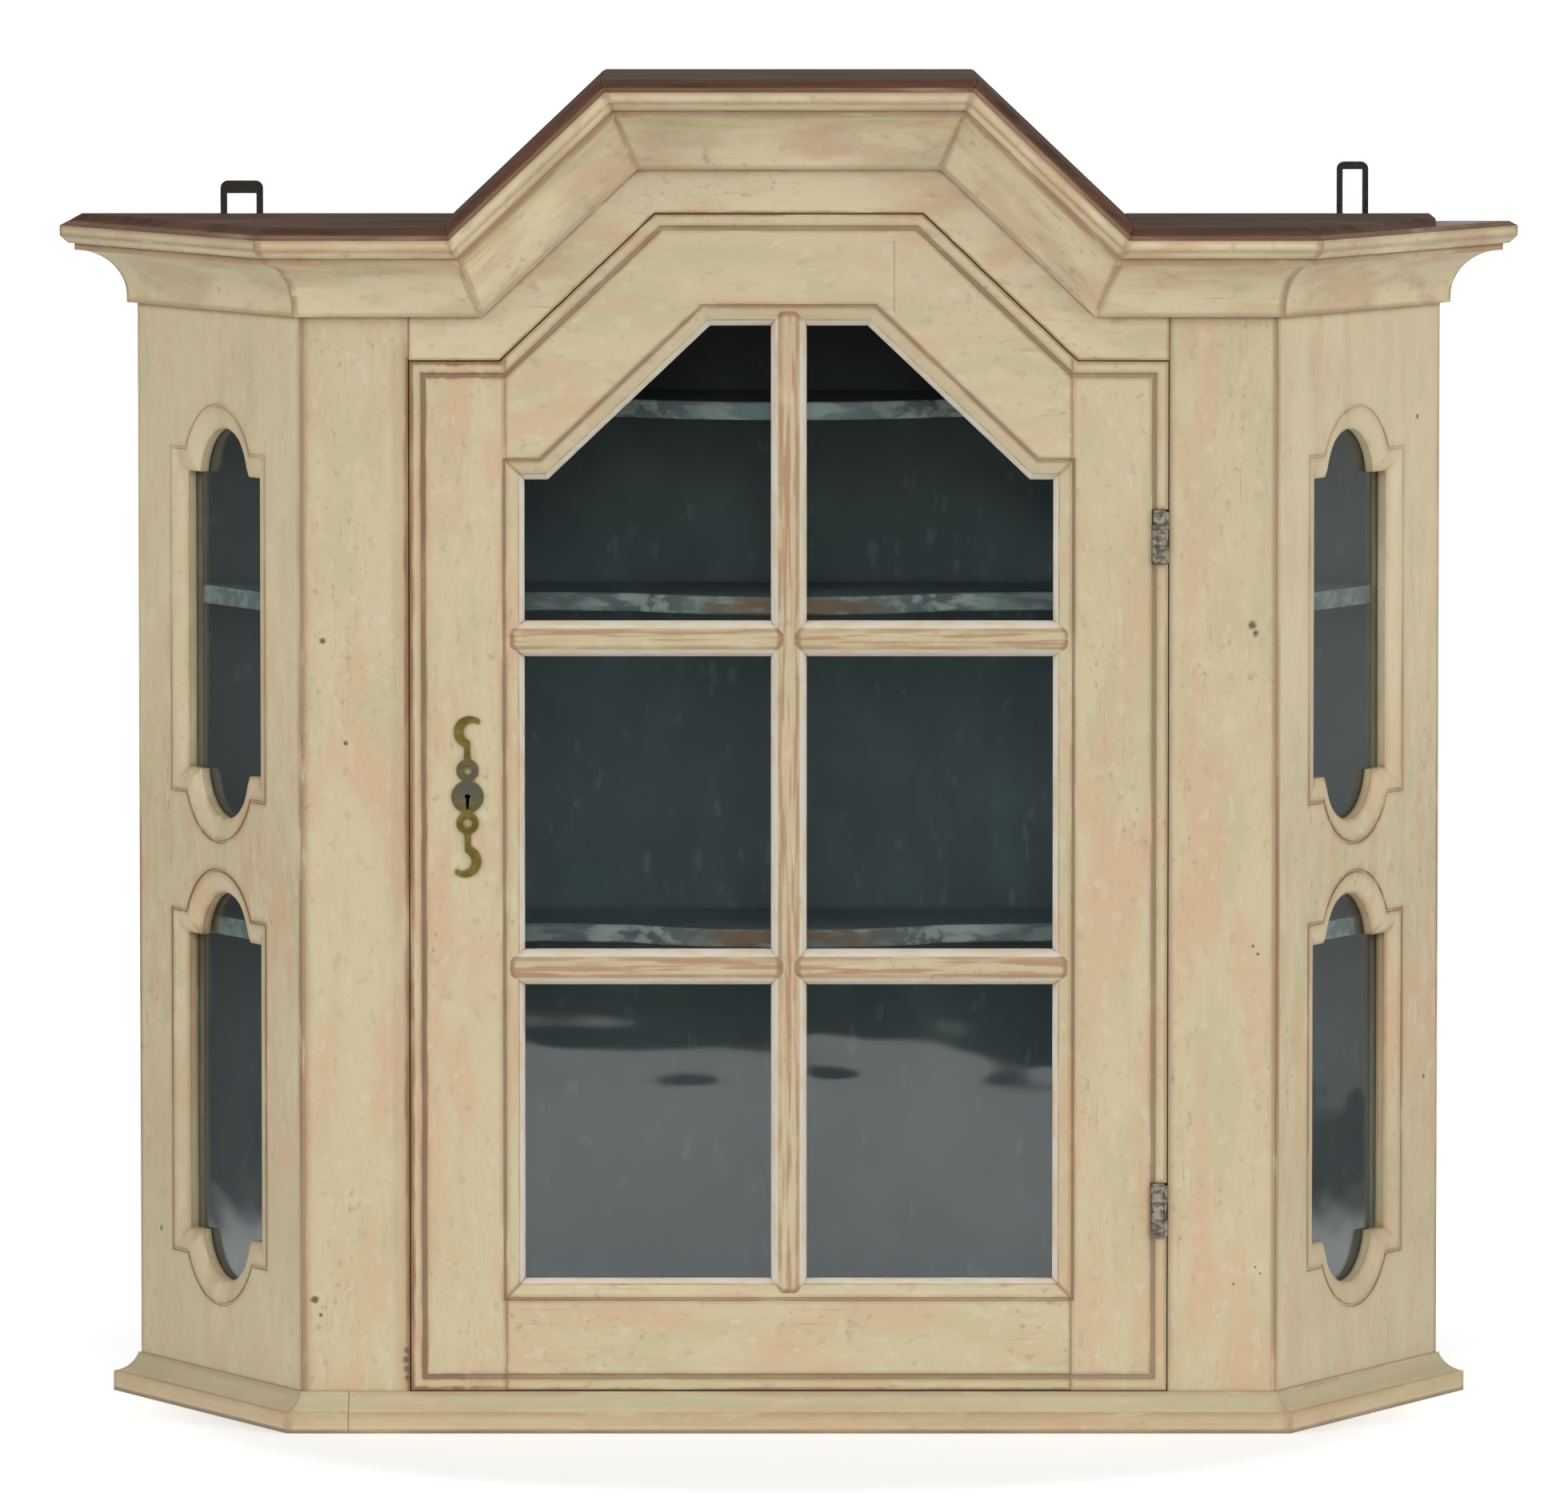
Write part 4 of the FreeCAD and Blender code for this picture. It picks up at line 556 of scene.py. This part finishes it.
# Dirt along the gap round the door, in the groove of its bead and where hands push it: each is
# its inset from the gap, its half width, its colour and its strength
GAP_DIRT = (0.0, 1.9, "#9C7B59", 0.75)
BEAD_DIRT = (BEAD_INSET, 1.9, "#A08462", 0.75)
PALE_GAP_DIRT = (0.0, 2.4, "#AA997A", 0.75)
PALE_BEAD_DIRT = (BEAD_INSET, 2.6, "#AA997A", 0.75)
DEEP_GAP_DIRT = (0.0, 3.8, "#89643F", 0.95)
DEEP_BEAD_DIRT = (BEAD_INSET, 2.7, "#98795A", 0.85)
FOOT_GAP_DIRT = (0.0, 2.2, "#8F6A48", 0.85)
FOOT_BEAD_DIRT = (BEAD_INSET, 1.6, "#A08462", 0.75)
HANDLED_STRIP = (-5.0, 9.0, "#B8A080", 0.5)

# Knots and dents of the stiles, by place across, height and radius; the last four of the left
# one are the smear low beside the door
RIGHT_STILE_SPOTS = (
    (297.5, 521, 3.4), (300, 516, 2.6), (299, 314, 1.3), (302, 309, 1.2), (301, 106, 1.0),
    (304, 102, 1.1), (287, 95, 1.0),
)
LEFT_STILE_SPOTS = (
    (-299.5, 511, 2.4), (-285, 445, 1.8), (-306, 85, 3.0), (-302, 75, 1.6),
    (-246, 52, 2.6), (-246.5, 46, 3.2), (-246, 40, 3.2), (-245.5, 34, 2.6),
)

# Open joints: each is its place across, its foot, its head and its half width
ARCH_JOINT = (67.7, 722, 768, 0.2)
BASE_JOINT = (-284, 0, 26, 0.3)

PAINT_RIGHT_STILE = painted_pine(
    "painted_pine_upright", UPRIGHT, seams=(PALE_GAP_DIRT,),
    spots=[(on_front(across, height), radius) for across, height, radius in RIGHT_STILE_SPOTS],
)
PAINT_LEFT_STILE = painted_pine(
    "painted_pine_left_stile", UPRIGHT, reach=9.0, least=0.55,
    seams=(HANDLED_STRIP, DEEP_GAP_DIRT),
    spots=[(on_front(across, height), radius) for across, height, radius in LEFT_STILE_SPOTS],
)
PAINT_LOCK_STILE = painted_pine(
    "painted_pine_lock_stile", UPRIGHT, reach=6.0, worn=0.85, pale=DOOR_SLOPE,
    seams=(DEEP_GAP_DIRT, DEEP_BEAD_DIRT),
)
PAINT_HINGE_STILE = painted_pine(
    "painted_pine_hinge_stile", UPRIGHT, reach=5.0, worn=0.7, least=0.25, pale=DOOR_SLOPE,
    seams=(PALE_GAP_DIRT, PALE_BEAD_DIRT),
)
PAINT_NAIL_HEADS = painted_pine(
    "paint_over_nail_heads", UPRIGHT, reach=0.8, worn=0.35, least=0.1,
)
# The frieze and the cornice have a lighter ground than the other boards: painted light
PAINT_FRIEZE = painted_pine(
    "painted_pine_frieze", LEVEL, reach=4.0, worn=0.8, seams=(GAP_DIRT,), ground="#D9CAA6",
)
PAINT_ARCH = painted_pine(
    "painted_pine_arch", LEVEL, reach=4.0, worn=0.8, pale=DOOR_SLOPE,
    seams=(GAP_DIRT, BEAD_DIRT), joints=(ARCH_JOINT,),
)
PAINT_FOOT_RAIL = painted_pine(
    "painted_pine_foot_rail", LEVEL, reach=4.0, worn=0.8, pale=DOOR_SLOPE,
    seams=(FOOT_GAP_DIRT, FOOT_BEAD_DIRT),
)
# The sides are lighter above and duller towards the foot, as painted light and shade
PAINT_SIDE = painted_pine(
    "painted_pine_side", UPRIGHT, reach=7.0,
    bands=((350, 950, "#E6D8B4", 0.55), (-150, 250, "#B3A684", 0.45)),
    spots=[(on_side(-413, 111), 2.6), (on_side(412, 646), 2.0), (on_side(418, 210), 2.0)],
)
PAINT_BARS = {
    turn: painted_pine(f"painted_pine_bar_{word}", turn, reach=3.0, worn=0.85, least=0.4,
                       crest=0.75, pale=BAR_SLOPE)
    for word, turn in (("upright", UPRIGHT), ("level", LEVEL))
}
# A lighter ground on the cornice, painted light that brightens it
PAINT_CORNICE = {
    turn: painted_pine(f"painted_pine_cornice_{word}", turn, reach=6.0, worn=0.75, least=0.3,
                       crown=0.9, ground="#DFD0AB")
    for word, turn in (
        ("level", LEVEL), ("rising", RISING), ("falling", FALLING),
        ("cant_left", CANT_LEFT), ("cant_right", CANT_RIGHT),
    )
}
# The base goes greener over its nose, browner on it, and has a dark foot of dirt and painted
# shadow where it meets the floor
BASE_BANDS = (
    (13.0, 27.0, "#B7AE8C", 0.8), (2.5, 14.0, "#B59A73", 0.6), (-3.5, 3.5, "#7F735D", 0.9),
)
PAINT_BASE = {
    turn: painted_pine(f"painted_pine_base_{word}", turn, reach=7.0, worn=0.6, least=0.3,
                       joints=(BASE_JOINT,), bands=BASE_BANDS)
    for word, turn in (("level", LEVEL), ("cant_left", CANT_LEFT), ("cant_right", CANT_RIGHT))
}
ROOM_UPRIGHT = room_paint("room_paint_upright", UPRIGHT)
ROOM_LEVEL = room_paint("room_paint_level", LEVEL)
SHELF_EDGE = shelf_edge()
PINE_UPRIGHT = sawn_pine("bare_pine_upright", UPRIGHT, "#8A6A48", "#5E4630", "#74492F", 0.3)
PINE_LEVEL = sawn_pine("bare_pine_level", LEVEL, "#8A6A48", "#5E4630", "#74492F", 0.3)
ROOF_PINE = sawn_pine("roof_pine_dark", LEVEL, "#5E3C26", "#382517", "#6F4427", 0.12)
ROOF_EDGE = sawn_pine("roof_pine_edge", LEVEL, "#5E3F2D", "#38261B", "#70452F", 0.0)
GLASS = blown_glass()
PUTTY = set_putty()
IRON = forged_iron("wrought_iron_forged", "#3B3835", "#4E3A2E", 0.0)
HINGE_IRON = forged_iron("wrought_iron_hinge", "#6A635B", "#5E4E40", 0.85)
BRASS = aged_brass()


# Softened boards

# Faces that meet flatter than the first angle become one, arrises sharper than the second are
# planed over, and shading breaks at the third
ALMOST_FLAT, SHARP_ARRIS, BROKEN_SHADING = (math.radians(turn) for turn in (0.5, 28.0, 35.0))
WELD_BEFORE, WELD_AFTER = MM / 1000, MM / 100
FLAT_FACES_FIRST = 100


def softened(name, width, shortest=2.0, rounds=2, ahead=0.0):
    """A copy of a solid, its arrises planed over by a width and set ahead, in millimetres."""
    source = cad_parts[name]
    shell = bmesh.new()
    shell.from_mesh(source.data)
    bmesh.ops.remove_doubles(shell, verts=shell.verts, dist=WELD_BEFORE)
    bmesh.ops.dissolve_limit(
        shell, angle_limit=ALMOST_FLAT, verts=shell.verts, edges=shell.edges
    )
    arrises = [
        edge for edge in shell.edges
        if len(edge.link_faces) == 2
        and edge.calc_face_angle(0) > SHARP_ARRIS
        and edge.calc_length() > shortest * MM
    ]
    bmesh.ops.bevel(
        shell, geom=arrises, offset=width * MM, offset_type="OFFSET", segments=rounds,
        profile=0.5, affect="EDGES", clamp_overlap=True,
    )
    bmesh.ops.remove_doubles(shell, verts=shell.verts, dist=WELD_AFTER)
    bmesh.ops.triangulate(shell, faces=[face for face in shell.faces if len(face.verts) > 4])
    bmesh.ops.translate(shell, verts=shell.verts, vec=(0.0, -ahead * MM, 0.0))
    mesh = bpy.data.meshes.new(f"{name}_softened")
    shell.to_mesh(mesh)
    shell.free()
    mesh.shade_smooth()
    piece = bpy.data.objects.new(f"{name}_softened", mesh)
    bpy.context.scene.collection.objects.link(piece)
    piece.modifiers.new("soft_edges", "EDGE_SPLIT").split_angle = BROKEN_SHADING
    flat = piece.modifiers.new("flat_faces", "WEIGHTED_NORMAL")
    flat.weight = FLAT_FACES_FIRST
    flat.keep_sharp = True
    return piece


def finish_faces(piece, materials, rule):
    """Give each face the material that the rule picks from its centre and outward normal."""
    for material in materials:
        piece.data.materials.append(material)
    for face in piece.data.polygons:
        face.material_index = rule(face.center, face.normal)


def all_over(centre, normal):
    """One material on every face."""
    return 0


def back_face(centre, normal):
    """The second material on faces that look back, deeper than the sunk mouldings."""
    deep = 12 * MM
    return 1 if normal.y > 0.5 and centre.y > FRONT_FACE + deep else 0


def canted_back_face(centre, normal):
    """The second material on the inner faces of a canted side."""
    side = 1 if centre.x > 0 else -1
    return 1 if normal.x * side * CANT_ACROSS - normal.y * CANT_FORWARD < -0.5 else 0


def wall_side(centre, normal):
    """The first material on faces that look into the cabinet, the second on the rest."""
    return 0 if normal.y < -0.5 else 1


def upright_face(centre, normal):
    """The second material on the edge of a shelf, but not on its back edge."""
    return 1 if abs(normal.z) < 0.9 and normal.y < 0.5 else 0


def top_side(centre, normal):
    """The first material on faces that look up, the second on the rest."""
    return 0 if normal.z > 0.5 else 1


def roof_face(centre, normal):
    """The second material on the front edges and ends of the roof boards."""
    return 1 if normal.y < -0.3 or abs(normal.x) > 0.8 else 0


def dress(name, slot, body, width, materials, rule=all_over, **options):
    """Put a softened, finished copy in the place of a solid, on the same body."""
    piece = softened(name, width, **options)
    finish_faces(piece, materials, rule)
    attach(piece, body)
    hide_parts(name)


# Back boards and nail heads share a plane with other solids, so their copies stand ahead of it
BOARDS_AHEAD, HEADS_AHEAD = 0.15, 0.12

dress("stile_left", "painted_pine", "root", 0.9, (PAINT_LEFT_STILE, ROOM_UPRIGHT), back_face)
dress("stile_right", "painted_pine", "root", 0.9, (PAINT_RIGHT_STILE, ROOM_UPRIGHT), back_face)
dress("frieze_board", "painted_pine", "root", 0.9, (PAINT_FRIEZE, ROOM_LEVEL), back_face)
for name in ("side_panel_left", "side_panel_right"):
    dress(name, "painted_pine", "root", 0.6, (PAINT_SIDE, ROOM_UPRIGHT), canted_back_face)
for name in ("back_board_inner_left", "back_board_inner_right",
             "back_board_outer_left", "back_board_outer_right"):
    dress(name, "carcass_pine", "root", 0.8, (ROOM_UPRIGHT, PINE_UPRIGHT), wall_side,
          ahead=BOARDS_AHEAD)
dress("bottom_board", "carcass_pine", "root", 0.8, (ROOM_LEVEL, PINE_LEVEL), top_side)
for name in ("shelf_top", "shelf_middle", "shelf_bottom"):
    dress(name, "painted_shelf_pine", "root", 1.6, (ROOM_LEVEL, SHELF_EDGE), upright_face,
          rounds=3)
dress("door_stops", "painted_shelf_pine", "root", 0.6, (ROOM_LEVEL,))

for name, turn in (
    ("cornice_top", LEVEL), ("cornice_slope_left", RISING), ("cornice_slope_right", FALLING),
    ("cornice_shoulder_left", LEVEL), ("cornice_shoulder_right", LEVEL),
    ("cornice_side_left", CANT_LEFT), ("cornice_side_right", CANT_RIGHT),
):
    dress(name, "painted_pine", "root", 0.8, (PAINT_CORNICE[turn],))
for part, turn in (("front", LEVEL), ("left", CANT_LEFT), ("right", CANT_RIGHT)):
    dress(f"base_moulding_{part}", "painted_pine", "root", 0.9, (PAINT_BASE[turn],))
for part in ("top", "slope_left", "slope_right", "shoulder_left", "shoulder_right"):
    dress(f"roof_board_{part}", "roof_pine", "root", 1.0, (ROOF_PINE, ROOF_EDGE), roof_face)

for name, paint in (
    ("door_stile_lock", PAINT_LOCK_STILE), ("door_stile_hinge", PAINT_HINGE_STILE),
):
    dress(name, "painted_pine", "door", 0.7, (paint, ROOM_UPRIGHT), back_face, shortest=6.0)
for name, paint in (("door_arch_rail", PAINT_ARCH), ("door_bottom_rail", PAINT_FOOT_RAIL)):
    dress(name, "painted_pine", "door", 0.7, (paint, ROOM_LEVEL), back_face)
dress("glazing_bar_upright", "painted_pine", "door", 0.4, (PAINT_BARS[UPRIGHT],))
for name in ("glazing_bar_upper", "glazing_bar_lower"):
    dress(name, "painted_pine", "door", 0.4, (PAINT_BARS[LEVEL],))

for name in ("hanger_left", "hanger_right"):
    dress(name, "wrought_iron", "root", 1.1, (IRON,), rounds=3)
for name in ("hinge_leaf_frame_upper", "hinge_leaf_frame_lower", "hinge_pins"):
    dress(name, "wrought_iron", "root", 0.3, (HINGE_IRON,), shortest=0.1)
for name in ("hinge_leaf_door_upper", "hinge_leaf_door_lower"):
    dress(name, "wrought_iron", "door", 0.3, (HINGE_IRON,), shortest=0.1)
dress("stile_nails", "wrought_iron", "root", 0.3, (PAINT_NAIL_HEADS,), shortest=0.1,
      ahead=HEADS_AHEAD)
dress("escutcheon", "aged_brass", "door", 0.45, (BRASS,), shortest=0.1, rounds=3)
dress("escutcheon_pins", "aged_brass", "door", 0.7, (BRASS,), shortest=0.1, rounds=3)


# Solids whose shape is right as it is get their finish alone

CARRIED = {
    GLASS: ("side_pane_left_upper", "side_pane_left_lower", "side_pane_right_upper",
            "side_pane_right_lower", "door_panes_top", "door_panes_middle", "door_panes_bottom"),
    PUTTY: ("side_window_putty", "door_putty"),
    IRON: ("back_nails", "lock_case", "lock_bolt", "lock_spring", "strike_plate"),
}
for material, names in CARRIED.items():
    for name in names:
        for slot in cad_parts[name].material_slots:
            slot.material = material


# Pale studio floor and sweep, soft lamps and the camera

def sweep_mesh():
    """A floor that curves up into a narrower backdrop behind the cabinet."""
    floor_half, backdrop_half, near, far, height, bend = 2.0, 1.2, -2.36, 3.2, 3.4, 1.6
    steps = 14
    profile = [(floor_half, near, 0.0), (floor_half, far - bend, 0.0)]
    for step in range(steps + 1):
        angle = math.pi / 2 * step / steps
        profile.append(
            (backdrop_half, far - bend + bend * math.sin(angle), bend - bend * math.cos(angle))
        )
    profile.append((backdrop_half, far, height))
    points = [(half * side, y, z) for half, y, z in profile for side in (-1, 1)]
    strips = [(2 * i, 2 * i + 1, 2 * i + 3, 2 * i + 2) for i in range(len(profile) - 1)]
    mesh = bpy.data.meshes.new("studio_sweep")
    mesh.from_pydata(points, [], strips)
    mesh.shade_smooth()
    return mesh


def studio_paper():
    """Background paper, white to the eye and greyer at its sides, where that grey is painted
    shade.

    Close round the cabinet it is lifted less, so that the shadow on it shows, and from behind
    it is clear. Distances are in metres.
    """
    grey_from, grey_to = 1.0, 1.5
    shadow_to, white_from = 0.34, 0.48
    lift_for_all, lift_for_eye, share_in_shadow = 0.2, 0.4, 0.1
    material = bpy.data.materials.new("studio_paper")
    material.use_nodes = True
    tree = material.node_tree
    tree.nodes.clear()
    place = add_node(tree, "TexCoord").outputs["Object"]
    across = add_node(tree, "SeparateXYZ", {0: place}).outputs["X"]
    off_middle = add_node(tree, "Math", {0: across}, operation="ABSOLUTE").outputs[0]
    # Painted shade: grey paper and less lift towards the sides
    aside = shown(tree, off_middle, grey_from, grey_to)
    shade = coats(tree, "#F2F2F2", [("#8E8E8E", aside)])
    paper = add_node(tree, "BsdfDiffuse", {"Color": shade})
    path = add_node(tree, "LightPath").outputs
    seen = path["Is Camera Ray"]
    for ray in ("Is Glossy Ray", "Is Transmission Ray"):
        seen = add_node(tree, "Math", {0: seen, 1: path[ray]}, operation="MAXIMUM").outputs[0]
    away = add_node(tree, "VectorMath", {0: place}, operation="LENGTH").outputs["Value"]
    seen = overlap(tree, seen, shown(tree, away, shadow_to, white_from, 1.0, share_in_shadow))
    steady = add_node(
        tree, "Math", {0: seen, 1: lift_for_eye, 2: lift_for_all}, operation="MULTIPLY_ADD"
    )
    lift = overlap(tree, steady.outputs[0], shown(tree, aside, 0.0, 1.0, 0.0, 1.0))
    white = add_node(tree, "Emission", {"Strength": lift})
    both = add_node(tree, "AddShader", {0: paper.outputs[0], 1: white.outputs[0]})
    behind = add_node(tree, "NewGeometry").outputs["Backfacing"]
    clear = add_node(tree, "BsdfTransparent")
    surface = add_node(tree, "MixShader", {0: behind, 1: both.outputs[0], 2: clear.outputs[0]})
    add_node(tree, "OutputMaterial", {"Surface": surface.outputs[0]})
    return material


def soft_lamp(name, place, aim, width, power):
    """A square lamp of a width in metres and a power in watts, aimed at a point."""
    lamp = bpy.data.lights.new(name, "AREA")
    lamp.shape = "SQUARE"
    lamp.size = width
    lamp.energy = power
    holder = bpy.data.objects.new(name, lamp)
    bpy.context.scene.collection.objects.link(holder)
    holder.location = place
    holder.rotation_euler = (Vector(aim) - Vector(place)).to_track_quat("-Z", "Y").to_euler()


sweep = bpy.data.objects.new("studio_sweep", sweep_mesh())
sweep.data.materials.append(studio_paper())
bpy.context.scene.collection.objects.link(sweep)

CABINET_MIDDLE, FLOOR_BEFORE_IT = (0.0, 0.0, 0.5), (0.0, -1.5, 0.0)
soft_lamp("lamp_left", (-3.7, -1.8, 2.1), CABINET_MIDDLE, 2.0, 76.0)
soft_lamp("lamp_right", (3.7, -1.8, 2.1), CABINET_MIDDLE, 2.0, 72.0)
soft_lamp("lamp_front", (0.0, -5.0, 2.1), CABINET_MIDDLE, 1.6, 52.0)
soft_lamp("lamp_over_floor", (0.0, -1.9, 3.6), FLOOR_BEFORE_IT, 2.2, 30.0)

# A dim room, lighter towards its right wall and a little towards its left one
RIGHT_WALL, LEFT_WALL, DIMMEST, FULL_AT = 0.44, 0.12, 0.05, 0.9
world = bpy.data.worlds.new("dim_studio")
bpy.context.scene.world = world
world.use_nodes = True
sky = world.node_tree
sky.nodes.clear()
direction = add_node(sky, "TexCoord").outputs["Generated"]
across = add_node(sky, "SeparateXYZ", {0: direction}).outputs["X"]
glow = add_node(
    sky, "Math",
    {0: shown(sky, across, 0.0, FULL_AT, RIGHT_WALL, DIMMEST),
     1: shown(sky, across, 0.0, -FULL_AT, LEFT_WALL)},
    operation="ADD",
)
room = add_node(sky, "Background", {"Strength": glow.outputs[0]})
add_node(sky, "OutputWorld", {"Surface": room.outputs[0]})

# A long lens, a little above the cabinet and tilted down, as the photo was taken
CAMERA_PLACE = (-0.0031, -8.62075, 1.1185)
CAMERA_TILT, CAMERA_LENS, SENSOR_WIDTH, FARTHEST_SEEN = 4.54, 305.8, 36.0, 100.0
camera_data = bpy.data.cameras.new("camera")
camera_data.lens = CAMERA_LENS
camera_data.sensor_width = SENSOR_WIDTH
camera_data.clip_end = FARTHEST_SEEN
camera = bpy.data.objects.new("camera", camera_data)
bpy.context.scene.collection.objects.link(camera)
camera.location = CAMERA_PLACE
camera.rotation_euler = (math.radians(90 - CAMERA_TILT), 0.0, 0.0)
bpy.context.scene.camera = camera
bpy.context.scene.view_settings.view_transform = "Standard"
